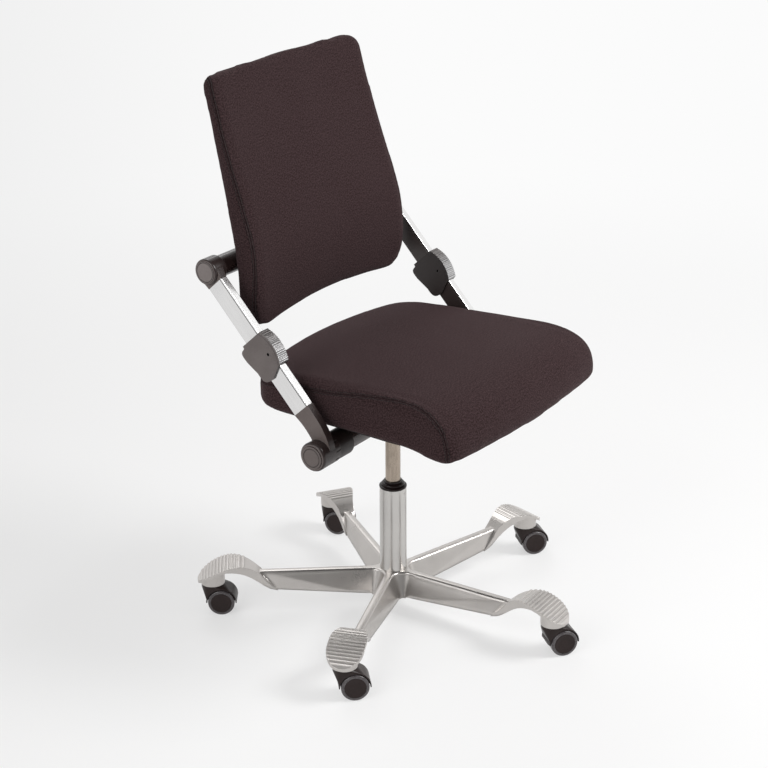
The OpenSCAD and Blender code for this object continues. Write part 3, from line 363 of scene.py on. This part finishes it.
def block_finish():
    """Strut block: grained cheeks, painted grey on the outer flats as lit and dark on other faces as shade;
    a fine line, ticks and the accessory hole painted dark as shade; and a silver ribbed rim painted dark at
    the top of the arch and bright low down as lit, with painted shade between its ribs.
    """
    f = Finish("strut_block")
    _, along, up = f.apart(f.place(ARCH_CENTRE, (STRUT_TURN, 0, 0)))
    reach = (along*along + up*up)**0.5
    rim = f.rising(reach, ARCH_RADIUS - 0.4*MM, ARCH_RADIUS)
    line = f.band(reach, 56.8*MM, 0.25*MM, 0.35*MM)
    here = f.place()
    cloud = f.noise(here, 24, 4, 0.6)
    dust = f.noise(here, 420, 3, 0.7)
    pits = f.cells(here, 1/(0.9*MM), "SMOOTH_F1")
    ticks = f.noise(f.place(ARCH_CENTRE, (STRUT_TURN, 0, 0), (1, 1, 0.28)), 300, 2, 0.5)
    tick = f.rising(ticks, 0.60, 0.64)*f.rising(reach, 42*MM, 54*MM)*(1 - rim)
    turn = f.maths("ARCTAN2", along, up)
    rib = 0.5 + 0.5*f.sine(turn*(2*math.pi*ARCH_RADIUS/ARCH_RIB_PITCH))
    low = f.rising(-turn, -0.45, 0.35)
    _, hole_y, hole_z = f.apart(f.place(ACCESSORY_HOLE))
    hole_shade = 1 - f.rising((hole_y*hole_y + hole_z*hole_z)**0.5, 2.8*MM, 3.2*MM)
    flat = f.faces_out()
    eased, edge = f.edge(0.6*MM)
    grey = f.blend(f.rising(cloud*0.6 + dust*0.4, 0.36, 0.64), (0.108, 0.090, 0.086), (0.138, 0.117, 0.112))
    # Painted light and shade: the outer cheeks are painted grey as lit, and all other faces near black as
    # in shade.
    grey = f.blend(flat, (0.030, 0.021, 0.020), grey)
    grey = f.blend(edge*0.4, grey, (0.22, 0.20, 0.19))
    # Painted shade: the fine line inside the arch and the pressed ticks are painted darker, and the
    # accessory hole is painted near black.
    grey = f.blend(f.larger(f.larger(line, tick*0.7), hole_shade), grey, (0.014, 0.010, 0.0095))
    # Painted light: the rim is painted dark at the top of the arch and bright at its low end, as it is lit.
    silver = f.blend(low, (0.22, 0.205, 0.20), (0.66, 0.66, 0.665))
    # Painted shade: the valleys between the rim's ribs are painted darker.
    silver = f.blend((1 - rib)*0.75, silver, (0.11, 0.10, 0.10))
    height = pits*(1 - rim)*0.06 - line*0.24 - tick*0.18 + rim*rib*0.35
    return f.surface(Base_Color=f.blend(rim, grey, silver), Metallic=rim*0.9,
                     Roughness=0.44 + 0.1*(dust - 0.5) - 0.16*rim, Normal=f.bump(height, 1*MM, eased))


def wheel_finish():
    """Wheel: a glossy tread ring with a little dust, duller in its dusty patches."""
    f = Finish("wheel_tread")
    here = f.place()
    dust = f.noise(here, 190, 4, 0.7)
    cloud = f.noise(here, 34, 3, 0.6)
    tone = f.blend(f.rising(dust*0.5 + cloud*0.5, 0.4, 0.65), (0.055, 0.047, 0.050), (0.085, 0.075, 0.078))
    return f.surface(Base_Color=tone, Roughness=0.24 + 0.22*f.rising(dust, 0.45, 0.75),
                     Coat_Weight=0.25, Normal=f.bump(dust, 0.03*MM))


def cloth_finish():
    """Plain-woven wool mix in dark brown, with single lighter yarns. The weave follows the cloth. Shade is
    painted into the hollows of the weave and into the sewn lines.
    """
    f = Finish("woven_cloth")
    lay = f.node("ShaderNodeAttribute", {"attribute_name": "cloth"}, (), "Vector")
    u, v, _ = f.apart(lay)
    drift = f.noise(lay, 60, 2, 0.5)
    pitch = 1.05*MM
    u = u/pitch + 0.5*drift
    v = v/pitch - 0.5*drift
    over = f.maths("COSINE", f.maths("FLOOR", u)*math.pi)
    under = f.maths("COSINE", f.maths("FLOOR", v)*math.pi)
    wave_u = f.sine(u*math.pi)
    wave_v = f.sine(v*math.pi)
    warp = f.size_of(wave_u)*(0.5 + 0.5*over*wave_v)
    weft = f.size_of(wave_v)*(0.5 - 0.5*under*wave_u)
    height = f.larger(warp, weft)
    yarn = f.noise(f.node("ShaderNodeCombineXYZ", (), {0: u*0.9, 1: v*0.23}), 1.0, 3, 0.7)
    fleck = f.noise(lay, 1500, 2, 0.6)
    mottle = f.noise(lay, 390, 1.2, 0.6)
    cloud = f.noise(f.place(), 9, 4, 0.6)
    mixed = yarn*0.2 + fleck*0.2 + mottle*0.6
    tone = f.blend(f.rising(mixed, 0.41, 0.59), (0.0205, 0.0098, 0.0103), (0.061, 0.0355, 0.0378))
    tone = f.blend(f.rising(cloud, 0.3, 0.8)*0.2, tone, (0.058, 0.0370, 0.0390))
    # Painted shade: the hollows of the weave are painted darker.
    tone = f.blend((1 - f.rising(height, 0.1, 0.6))*0.7, tone, (0.010, 0.007, 0.007))
    seam = f.node("ShaderNodeAttribute", {"attribute_name": "seam"}, (), "Fac")
    # Painted shade: the pressed join and stitched lines are painted darker.
    tone = f.blend(seam*0.75, tone, (0.009, 0.006, 0.006))
    fuzz = f.noise(lay, 2600, 2, 0.6)
    return f.surface(Base_Color=tone, Roughness=0.88 + 0.1*(fleck - 0.5), Specular_IOR_Level=0.10,
                     Sheen_Weight=0.06, Sheen_Roughness=0.5, Sheen_Tint=(0.80, 0.60, 0.62),
                     Normal=f.bump(height + 0.35*fuzz, 0.16*MM))


def thread_finish():
    """Dark sewing thread with a faint twist."""
    f = Finish("seam_thread")
    twist = f.noise(f.place(), 2400, 2, 0.6)
    tone = f.blend(twist, (0.012, 0.008, 0.008), (0.035, 0.026, 0.027))
    return f.surface(Base_Color=tone, Roughness=0.7 + 0.2*(twist - 0.5), Normal=f.bump(twist, 0.05*MM))


silver_paint = cast_silver()
column_paint = satin_metal("silver_column", light=(0.585, 0.568, 0.55), dark=(0.53, 0.514, 0.498),
                           rough=0.24, grain=0.005*MM, metallic=0.95)
black_enamel = satin_metal("black_enamel", light=(0.032, 0.0190, 0.0175), dark=(0.025, 0.0150, 0.0135),
                           rough=0.20, grain=0.01*MM, metallic=0.0)
dark_grey = moulded_part("grey_moulding", light=(0.128, 0.104, 0.098), dark=(0.104, 0.083, 0.078))
hub_disc = moulded_part("hub_disc", light=(0.128, 0.106, 0.100), dark=(0.106, 0.087, 0.082),
                        ring_centre=HUB_CENTRE, ring_radius=16.2*MM)
top_disc = moulded_part("top_disc", light=(0.195, 0.170, 0.164), dark=(0.168, 0.144, 0.138),
                        ring_centre=TOP_CENTRE, ring_radius=17.2*MM)
satin_black = moulded("black_moulding", light=(0.019, 0.0120, 0.0110), dark=(0.013, 0.0085, 0.0080),
                      rough=0.32, grain=0.03*MM, grain_size=0.8*MM)
coarse_black = moulded("black_shell", light=(0.020, 0.018, 0.018), dark=(0.013, 0.012, 0.012),
                       rough=0.55, grain=0.12*MM, grain_size=1.1*MM)
gloss_black = moulded("gloss_black", light=(0.016, 0.0095, 0.0090), dark=(0.011, 0.0070, 0.0065),
                      rough=0.18, grain=0.01*MM, grain_size=1.5*MM, edge_light=1.6)
hood_plastic = moulded("hood_moulding", light=(0.025, 0.0160, 0.0150), dark=(0.018, 0.0115, 0.0105),
                       rough=0.32, grain=0.03*MM, grain_size=0.7*MM, edge_light=1.6)
disc_plastic = moulded("wheel_face", light=(0.026, 0.0160, 0.0150), dark=(0.019, 0.0120, 0.0110),
                       rough=0.40, grain=0.03*MM, grain_size=0.6*MM, edge_light=1.5)
pale_nylon = moulded("grey_nylon", light=(0.20, 0.19, 0.18), dark=(0.16, 0.15, 0.145),
                     rough=0.5, grain=0.03*MM, grain_size=0.7*MM)
strut_metal = aluminium()
tube_steel = piston_steel()
screw_steel = small_steel()
block_grey = block_finish()
tread = wheel_finish()
cloth = cloth_finish()
thread = thread_finish()

FINISHES = {
    "star_base": silver_paint, "column_tube": column_paint, "guide_collar": gloss_black,
    "thrust_bearing": screw_steel, "retaining_clip": screw_steel, "lift_rod": screw_steel,
    "pressure_tube": tube_steel, "tilt_housing": coarse_black, "mechanism_cover": satin_black,
    "beam_bushes": pale_nylon, "tension_knob": satin_black, "height_lever": screw_steel,
    "lever_paddle": satin_black, "tilt_beam": black_enamel, "cross_tube": black_enamel,
    "seat_plate": black_enamel, "seat_pan": coarse_black, "slide_shoes": dark_grey,
    "seat_screws": screw_steel, "back_shell": coarse_black, "back_saddles": satin_black,
    "back_screws": screw_steel, "frame_screws": screw_steel,
}
for side in ("right", "left"):
    FINISHES.update({
        f"{side}_lower_arm": dark_grey, f"{side}_hub_cap": hub_disc, f"{side}_sleeve": satin_black,
        f"{side}_strut": strut_metal, f"{side}_block": block_grey,
        f"{side}_upper_fitting": dark_grey, f"{side}_end_cap": top_disc,
    })
for number in range(1, 6):
    FINISHES.update({
        f"castor_{number}_hood": hood_plastic, f"castor_{number}_pins": screw_steel,
        f"castor_{number}_left_wheel": tread, f"castor_{number}_right_wheel": tread,
    })
for node, finish in FINISHES.items():
    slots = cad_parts[node].data.materials
    slots.clear()
    slots.append(finish)


# Pieces
def new_piece(name, form, finish):
    """A bmesh becomes an object at the origin with one finish."""
    mesh = bpy.data.meshes.new(name)
    form.to_mesh(mesh)
    form.free()
    mesh.materials.append(finish)
    piece = bpy.data.objects.new(name, mesh)
    bpy.context.scene.collection.objects.link(piece)
    return piece


def smooth_faces(piece):
    for face in piece.data.polygons:
        face.use_smooth = True


def place_of(mesh):
    """All the mesh's points as an array of rows."""
    rows = np.empty(len(mesh.vertices)*3, np.float32)
    mesh.vertices.foreach_get("co", rows)
    return rows.reshape(-1, 3).astype(float)


def move_to(mesh, rows):
    mesh.vertices.foreach_set("co", np.asarray(rows, np.float32).ravel())
    mesh.update()


def curve_through(points, step):
    """Evenly spaced points on a smooth curve through the given ones."""
    points = [Vector(p) for p in points]
    ends = [points[0]*2 - points[1], *points, points[-1]*2 - points[-2]]
    fine = []
    for a, b, c, d in zip(ends, ends[1:], ends[2:], ends[3:]):
        for k in range(24):
            t = k/24
            fine.append(0.5*(2*b + (c - a)*t + (2*a - 5*b + 4*c - d)*t*t + (3*b - a - 3*c + d)*t**3))
    fine.append(points[-1])
    out, left = [fine[0]], step
    for a, b in zip(fine, fine[1:]):
        length = (b - a).length
        while length > 0 and left <= length:
            a = a + (b - a)*(left/length)
            out.append(a.copy())
            length = (b - a).length
            left = step
        left -= length
    return out


class Seam:
    """A sewn line on a cushion: points on its surface, with the way along and across each."""

    def __init__(self, points, surface, step=1.0*MM):
        line = [surface.find_nearest(p) for p in curve_through(points, step)]
        self.points = [hit[0] for hit in line]
        self.normals = [hit[1] for hit in line]
        for _ in range(12):
            self.normals = [((self.normals[max(0, k - 1)] + self.normals[k]
                              + self.normals[min(len(line) - 1, k + 1)])/3).normalized()
                            for k in range(len(line))]
        last = len(line) - 1
        self.along = [(self.points[min(last, k + 3)] - self.points[max(0, k - 3)]).normalized()
                      for k in range(len(line))]
        self.across = [a.cross(n).normalized() for a, n in zip(self.along, self.normals)]
        self.tree = KDTree(len(line))
        for k, p in enumerate(self.points):
            self.tree.insert(p, k)
        self.tree.balance()

    def offset(self, point):
        """(signed distance across the seam, distance past its ends)"""
        hit, k, _ = self.tree.find(point)
        way = Vector(point) - hit
        beyond = max(0.0, abs(way.dot(self.along[k])) - 1.2*MM)
        side = way.dot(self.across[k])
        return math.copysign(math.hypot(side, way.dot(self.normals[k])), side), beyond


def surface_of(piece):
    return BVHTree.FromPolygons([v.co.copy() for v in piece.data.vertices],
                                [tuple(p.vertices) for p in piece.data.polygons])


def merged_copy(node):
    """The solid's mesh, closed up, as a new bmesh."""
    form = bmesh.new()
    form.from_mesh(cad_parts[node].data)
    bmesh.ops.remove_doubles(form, verts=form.verts, dist=0.02*MM)
    bmesh.ops.recalc_face_normals(form, faces=form.faces)
    return form


def apply_modifiers(piece):
    """The evaluated mesh takes the place of the piece's own, and no modifier is left."""
    seen = piece.evaluated_get(bpy.context.evaluated_depsgraph_get())
    mesh = bpy.data.meshes.new_from_object(seen)
    piece.modifiers.clear()
    old = piece.data
    piece.data = mesh
    bpy.data.meshes.remove(old)


def normals_of(mesh):
    rows = np.empty(len(mesh.vertices)*3, np.float32)
    mesh.vertices.foreach_get("normal", rows)
    return rows.reshape(-1, 3).astype(float)


def remeshed(piece, voxel):
    remesh = piece.modifiers.new("remesh", "REMESH")
    remesh.mode = "VOXEL"
    remesh.voxel_size = voxel
    apply_modifiers(piece)


def inflated(piece, cap, pressure=4.0):
    """Blows the piece up like a filled cover, each point moving at most cap."""
    start = place_of(piece.data)
    cover = piece.modifiers.new("cover", "CLOTH")
    cover.settings.quality = 5
    cover.settings.mass = 0.3
    cover.settings.tension_stiffness = 25
    cover.settings.compression_stiffness = 25
    cover.settings.shear_stiffness = 10
    cover.settings.bending_stiffness = 4
    cover.settings.use_pressure = True
    cover.settings.uniform_pressure_force = pressure
    cover.settings.effector_weights.gravity = 0
    cover.collision_settings.use_collision = False
    scene = bpy.context.scene
    for moment in range(1, 21):
        scene.frame_set(moment)
    apply_modifiers(piece)
    scene.frame_set(1)
    moved = place_of(piece.data) - start
    length = np.linalg.norm(moved, axis=1, keepdims=True)
    move_to(piece.data, start + moved*np.minimum(1, cap/np.maximum(length, 1e-9)))


def held_in(piece, solid, proud, sunk):
    """Draws in every point that stands further out of the solid than proud(point, normal), and
    out again every point that lies deeper in it than sunk."""
    rows = place_of(piece.data)
    for k, p in enumerate(rows):
        point = Vector(p)
        hit, normal, _, _ = solid.find_nearest(point)
        out = (point - hit).dot(normal)
        over = max(0, out - proud(hit, normal)) + min(0, out + sunk)
        if over:
            rows[k] = p - np.array(normal)*over
    move_to(piece.data, rows)


def evened(mesh, values, rounds):
    """Each point's value becomes the mean of its neighbours', many times over."""
    edges = np.array([e.vertices for e in mesh.edges])
    count = np.bincount(edges.ravel(), minlength=len(values))[:, None]
    for _ in range(rounds):
        total = np.zeros_like(values)
        np.add.at(total, edges[:, 0], values[edges[:, 1]])
        np.add.at(total, edges[:, 1], values[edges[:, 0]])
        values = 0.5*values + 0.5*total/np.maximum(count, 1)
    return values


def filled_out(piece, solid):
    """Brings the cover back to the solid's size: the broad shape is the solid's, and what the
    filling does between its places stays."""
    rows = place_of(piece.data)
    normals = normals_of(piece.data)
    out = np.empty((len(rows), 1))
    for k, p in enumerate(rows):
        hit, normal, _, _ = solid.find_nearest(Vector(p))
        out[k] = (Vector(p) - hit).dot(normal)
    move_to(piece.data, rows - normals*evened(piece.data, out, rounds=60))


def cushion(name, node, voxel, cap, proud):
    """A padded piece from its solid: a little smaller, blown up, then held to the solid's space."""
    piece = new_piece(name, merged_copy(node), cloth)
    solid = surface_of(piece)
    remeshed(piece, voxel)
    for _ in range(3):
        relaxed(piece, 0.5)
    start = place_of(piece.data) - normals_of(piece.data)*cap*0.5
    move_to(piece.data, start)
    inflated(piece, cap)
    blown = place_of(piece.data) - start
    move_to(piece.data, start + evened(piece.data, blown, rounds=100))
    filled_out(piece, solid)
    held_in(piece, solid, proud, 1.5*MM)
    for _ in range(4):
        relaxed(piece, 0.5)
    finer = piece.modifiers.new("finer", "SUBSURF")
    finer.levels = 1
    finer.render_levels = 1
    apply_modifiers(piece)
    held_in(piece, solid, proud, 5*MM)
    return piece


def relaxed(piece, factor):
    form = bmesh.new()
    form.from_mesh(piece.data)
    bmesh.ops.smooth_vert(form, verts=form.verts, factor=factor, use_axis_x=True, use_axis_y=True,
                          use_axis_z=True)
    form.to_mesh(piece.data)
    form.free()


def fine_near(piece, seams, reach, cuts):
    """Cuts the faces near the seams smaller, so that they can carry the sewing."""
    for _ in range(cuts):
        form = bmesh.new()
        form.from_mesh(piece.data)
        near = set()
        for vert in form.verts:
            if min(seam.tree.find(vert.co)[2] for seam in seams) < reach:
                near.add(vert)
        edges = [e for e in form.edges if e.verts[0] in near and e.verts[1] in near]
        bmesh.ops.subdivide_edges(form, edges=edges, cuts=1, use_grid_fill=True)
        bmesh.ops.triangulate(form, faces=[f for f in form.faces if len(f.verts) > 4])
        form.to_mesh(piece.data)
        form.free()


# Distance of each stitched line from the join
STITCH_GAP = 3.2*MM


def sewn(piece, seams, dip, dip_at, dip_width):
    """Presses the join and its two stitched lines into the cover, and a soft valley on the
    main panel beside them. How deep each point lies in a line is kept for the finish, which paints shade
    there."""
    mesh = piece.data
    rows = place_of(mesh)
    normals = normals_of(mesh)
    depth = np.zeros(len(rows))
    seam_shade = np.zeros(len(rows))
    reach = dip_at + 2*dip_width
    for k, p in enumerate(rows):
        for seam in seams:
            if seam.tree.find(p)[2] > reach:
                continue
            s, beyond = seam.offset(p)
            fade = max(0.0, 1 - beyond/(6*MM))
            join = math.exp(-(s/(0.9*MM))**2)
            stitched = sum(math.exp(-((s - g)/(0.8*MM))**2) for g in (-STITCH_GAP, STITCH_GAP))
            pull = math.exp(-(s/(7*MM))**2)
            valley = math.exp(-((s + dip_at)/dip_width)**2)
            press = (1.5*join + 0.8*stitched)*MM + 0.6*MM*pull
            depth[k] = max(depth[k], fade*press + dip*valley)
            seam_shade[k] = max(seam_shade[k], fade*min(1, join + 0.55*stitched))
    move_to(mesh, rows - normals*depth[:, None])
    attribute = mesh.attributes.new("seam", "FLOAT", "POINT")
    attribute.data.foreach_set("value", seam_shade.astype(np.float32))


def lay_cloth(piece, seams, unroll):
    """Gives each point its place on the flat cloth, in metres: unroll for the main panel, and
    height and depth for the side panels."""
    mesh = piece.data
    rows = place_of(mesh)
    flat = np.zeros((len(rows), 3), np.float32)
    for k, p in enumerate(rows):
        side = False
        for seam in seams:
            s, _ = seam.offset(p)
            if seam.tree.find(p)[2] < 0.2 and s > 0 and abs(p[0]) > 0.17:
                side = True
        flat[k] = (p[1], p[2], 1.0) if side else (*unroll(p), 0.0)
    attribute = mesh.attributes.new("cloth", "FLOAT_VECTOR", "POINT")
    attribute.data.foreach_set("vector", flat.ravel())


def stitches(name, seams, surface, every=4, length=3.1*MM, radius=0.38*MM):
    """Short threads along both sides of each seam, one fine capsule for each stitch."""
    form = bmesh.new()
    for seam in seams:
        for side in (-1, 1):
            for k in range(3, len(seam.points) - 3, every):
                centre, normal, _, _ = surface.find_nearest(seam.points[k] + seam.across[k]*side*STITCH_GAP)
                across = seam.along[k].cross(normal).normalized()
                turn = Matrix((across.cross(seam.along[k]), across, seam.along[k])).transposed().to_4x4()
                made = bmesh.ops.create_cone(form, cap_ends=True, segments=6, radius1=radius,
                                             radius2=radius, depth=length)["verts"]
                caps = [f for f in {f for v in made for f in v.link_faces} if len(f.verts) == 6]
                inner = bmesh.ops.inset_region(form, faces=caps, thickness=radius*0.45,
                                               depth=radius*0.5, use_boundary=True)
                moved = list(made) + list({v for f in inner["faces"] for v in f.verts}
                                          | {v for f in caps for v in f.verts})
                bmesh.ops.transform(form, verts=list(set(moved)),
                                    matrix=Matrix.Translation(centre) @ turn)
    bmesh.ops.recalc_face_normals(form, faces=form.faces)
    return new_piece(name, form, thread)


# Seams, in millimetres, on the sitter's right; the left ones mirror them
SEAT_SEAM = [(-150, 166, 492), (-196, 146, 496), (-226, 112, 503), (-235, 70, 509), (-236.4, 30, 516),
             (-237, -35, 521.5), (-233.6, -94, 530.7), (-230.6, -142, 535.2), (-230.3, -192, 536.1),
             (-234.3, -225, 531), (-241, -255, 515.6), (-245, -269, 495.7), (-243.5, -274, 470),
             (-242, -275, 452)]
BACK_SEAM = [(-203, 247, 1024), (-208, 236, 1026), (-213, 227, 1020), (-215.8, 220.7, 1009),
             (-219.4, 199.6, 938), (-221.3, 176, 866.6), (-222.2, 152.3, 802), (-223.6, 134.1, 745.4),
             (-226.9, 129.5, 694.8), (-227.7, 132.8, 640), (-224, 133, 617), (-214, 138, 600),
             (-202, 148, 592)]

# The seat's middle line from rear to front, over which its cloth is laid flat
SEAT_MIDDLE = [(0, 176, 470), (0, 172, 500), (0, 150, 516), (0, 90, 527), (0, 0, 535), (0, -90, 540),
               (0, -180, 541), (0, -235, 533), (0, -275, 508), (0, -300, 470), (0, -309, 456)]
SEAT_FRONT_BOW = 21*MM
SEAT_HALF_WIDTH = 245*MM


def both_sides(points, surface):
    right = [Vector(p)*MM for p in points]
    left = [Vector((-p.x, p.y, p.z)) for p in right]
    return [Seam(right, surface), Seam(left[::-1], surface)]


def on_seat_cloth():
    """Makes the function that gives a point on the seat's main panel its place on the flat cloth."""
    spacing = 2*MM
    run = curve_through([Vector(p)*MM for p in SEAT_MIDDLE], spacing)
    tree = KDTree(len(run))
    for k, p in enumerate(run):
        tree.insert(p, k)
    tree.balance()

    def unroll(p):
        forward = min(1, max(0, (-120*MM - p[1])/(150*MM)))
        bow = SEAT_FRONT_BOW*forward*min(1, (p[0]/SEAT_HALF_WIDTH)**2)
        hit, k, _ = tree.find((0, p[1] - bow, p[2]))
        step = run[min(len(run) - 1, k + 1)] - run[max(0, k - 1)]
        more = (Vector((0, p[1], p[2])) - hit).dot(step.normalized())
        return p[0], k*spacing + max(-spacing/2, min(spacing/2, more))

    return unroll


def seat_cushion():
    def proud(point, normal):
        under = normal.z < -0.6
        return -0.1*MM if under else 1.2*MM

    piece = cushion("seat_cover", "seat_cushion", voxel=5.5*MM, cap=9*MM, proud=proud)
    seams = both_sides(SEAT_SEAM, surface_of(piece))
    fine_near(piece, seams, reach=9*MM, cuts=2)
    sewn(piece, seams, dip=1.2*MM, dip_at=17*MM, dip_width=8*MM)
    lay_cloth(piece, seams, on_seat_cloth())
    smooth_faces(piece)
    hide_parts("seat_cushion")
    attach(piece, "seat")
    sewing = stitches("seat_stitches", seams, surface_of(piece))
    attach(sewing, "seat")


def back_cushion():
    def proud(point, normal):
        behind = normal.y > 0.5
        return -0.1*MM if behind else 1.2*MM

    piece = cushion("back_cover", "back_cushion", voxel=5*MM, cap=8*MM, proud=proud)
    seams = both_sides(BACK_SEAM, surface_of(piece))
    fine_near(piece, seams, reach=9*MM, cuts=2)
    sewn(piece, seams, dip=2.0*MM, dip_at=11*MM, dip_width=7*MM)
    lay_cloth(piece, seams, lambda p: (p[0], p[2]))
    smooth_faces(piece)
    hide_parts("back_cushion")
    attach(piece, "backrest")
    sewing = stitches("back_stitches", seams, surface_of(piece))
    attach(sewing, "backrest")


seat_cushion()
back_cushion()


def turned(profile, steps):
    """A closed round form from a profile of [radius, height] that starts and ends on the axis."""
    form = bmesh.new()
    line = [form.verts.new((r, 0, h)) for r, h in profile]
    edges = [form.edges.new(pair) for pair in zip(line, line[1:])]
    bmesh.ops.spin(form, geom=line + edges, cent=(0, 0, 0), axis=(0, 0, 1), angle=2*math.pi,
                   steps=steps, use_merge=True)
    bmesh.ops.remove_doubles(form, verts=form.verts, dist=0.002*MM)
    bmesh.ops.recalc_face_normals(form, faces=form.faces)
    return form


# Half section of a wheel's dark face, in millimetres: radius and height
WHEEL_FACE = [(0, 0.02), (0, 0.30), (5.0, 0.30), (11.0, 0.38), (15.6, 0.62), (17.2, 0.92), (18.3, 0.98),
              (19.0, 0.80), (19.25, 0.40), (19.25, 0.02), (0, 0.02)]
# The way each castor trails, in degrees, and its wheels' place from the stem
CASTOR_TRAIL = (-38, -40, -75, -56, -48)
WHEEL_OFFSET = 16*MM
WHEEL_OUTER_SIDE = 21.2*MM
WHEEL_RADIUS = 25*MM


def wheel_faces():
    """The dark dished face pressed into each wheel's outer side."""
    for number, trail in enumerate(CASTOR_TRAIL, 1):
        arm = FIRST_ARM + (number - 1)*2*math.pi/ARM_COUNT
        socket = Vector((math.cos(arm), math.sin(arm), 0))*CASTOR_RADIUS
        turn = Matrix.Rotation(math.radians(trail), 4, "Z")
        for name, side in (("left", 1), ("right", -1)):
            form = turned([(r*MM, h*MM) for r, h in WHEEL_FACE], 56)
            stand = Matrix.Rotation(-side*math.pi/2, 4, "X")
            out = Matrix.Translation((WHEEL_OFFSET, side*WHEEL_OUTER_SIDE, WHEEL_RADIUS))
            bmesh.ops.transform(form, verts=form.verts,
                                matrix=Matrix.Translation(socket) @ turn @ out @ stand)
            face = new_piece(f"castor_{number}_{name}_face", form, disc_plastic)
            smooth_faces(face)
            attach(face, f"castor_{number}_{name}_wheel")


wheel_faces()


# Studio
FLOOR_GLOW = 0.58
WORLD_LIGHT = 0.36
EYE_TO_CHAIR = 3.4
# Each lamp's name, place, width and power in watts
LAMPS = (
    ("left", (-3.0, 0.3, 2.0), 2.2, 42),
    ("right", (1.3, -2.3, 2.7), 1.4, 92),
    ("rear", (1.6, 2.2, 3.0), 1.8, 26),
)


def seen_directly(f):
    """1 for what is seen straight, in a reflection or through glass."""
    seen = f.node("ShaderNodeLightPath", output="Is Camera Ray")
    for way in ("Is Glossy Ray", "Is Transmission Ray"):
        seen = f.larger(seen, f.node("ShaderNodeLightPath", output=way))
    return seen


def pale_floor():
    """A white floor that runs out of sight: lit near the chair, so that it keeps the shadow, and
    a little greyer towards the left of the picture."""
    form = bmesh.new()
    bmesh.ops.create_grid(form, x_segments=1, y_segments=1, size=30)
    f = Finish("pale_floor")
    here = f.place()
    patch = f.noise(here, 1.3, 3, 0.5)
    far = f.rising(f.vector_maths("LENGTH", here), 0.7, 3.0)
    aside, ahead, _ = f.apart(f.place(turn=(0, 0, VIEW_TURN)))
    to_the_right = f.rising(aside/(ahead + EYE_TO_CHAIR), -0.30, 0.02)
    level = f.blend(to_the_right, (0.85, 0.85, 0.85), (0.965, 0.965, 0.965))
    lit = f.shader(Base_Color=f.blend(patch, (0.88, 0.88, 0.88), (0.91, 0.91, 0.91)),
                   Roughness=0.7 + 0.1*(patch - 0.5))
    white = f.node("ShaderNodeEmission", (), {"Color": level})
    glow = seen_directly(f)*(FLOOR_GLOW + (1 - FLOOR_GLOW)*far)
    mixed = f.node("ShaderNodeMixShader", (), {0: glow, 1: lit, 2: white})
    f.node("ShaderNodeOutputMaterial", (), {0: mixed})
    floor = new_piece("floor", form, f.material)


def surround():
    """A pale studio: white to look at, and in reflections white round the horizon, dimmer
    overhead and in the unlit room behind the camera. It lights the chair at a plain level."""
    world = bpy.data.worlds.new("surround")
    bpy.context.scene.world = world
    world.use_nodes = True
    f = Finish("surround", world.node_tree)
    way = f.node("ShaderNodeTexCoord", output="Generated")
    _, _, up = f.apart(way)
    behind = f.vector_maths("DOT_PRODUCT", way, (-0.82, -0.57, 0))
    room = 1 - 0.72*f.rising(behind, 0.05, 0.65)
    above = 1 - 0.48*f.rising(up, 0.45, 0.80)
    glossy = f.node("ShaderNodeLightPath", output="Is Glossy Ray")
    lit = f.node("ShaderNodeBackground", (), {0: (1, 0.985, 0.975, 1), 1: WORLD_LIGHT})
    white = f.node("ShaderNodeBackground", (), {0: (1, 1, 1, 1), 1: 1 - glossy*(1 - room*above)})
    either = f.node("ShaderNodeMixShader", (), {0: seen_directly(f), 1: lit, 2: white})
    f.node("ShaderNodeOutputWorld", (), {0: either})


def lamps():
    for name, place, width, watts in LAMPS:
        lamp = bpy.data.lights.new(name, "AREA")
        lamp.shape = "SQUARE"
        lamp.size = width
        lamp.energy = watts
        hung = bpy.data.objects.new(name, lamp)
        way = Vector(place) - Vector((0, 0, 0.5))
        hung.matrix_world = Matrix.Translation(place) @ way.to_track_quat("Z", "Y").to_matrix().to_4x4()
        bpy.context.scene.collection.objects.link(hung)


pale_floor()
surround()
lamps()
bpy.context.scene.view_settings.view_transform = "Standard"
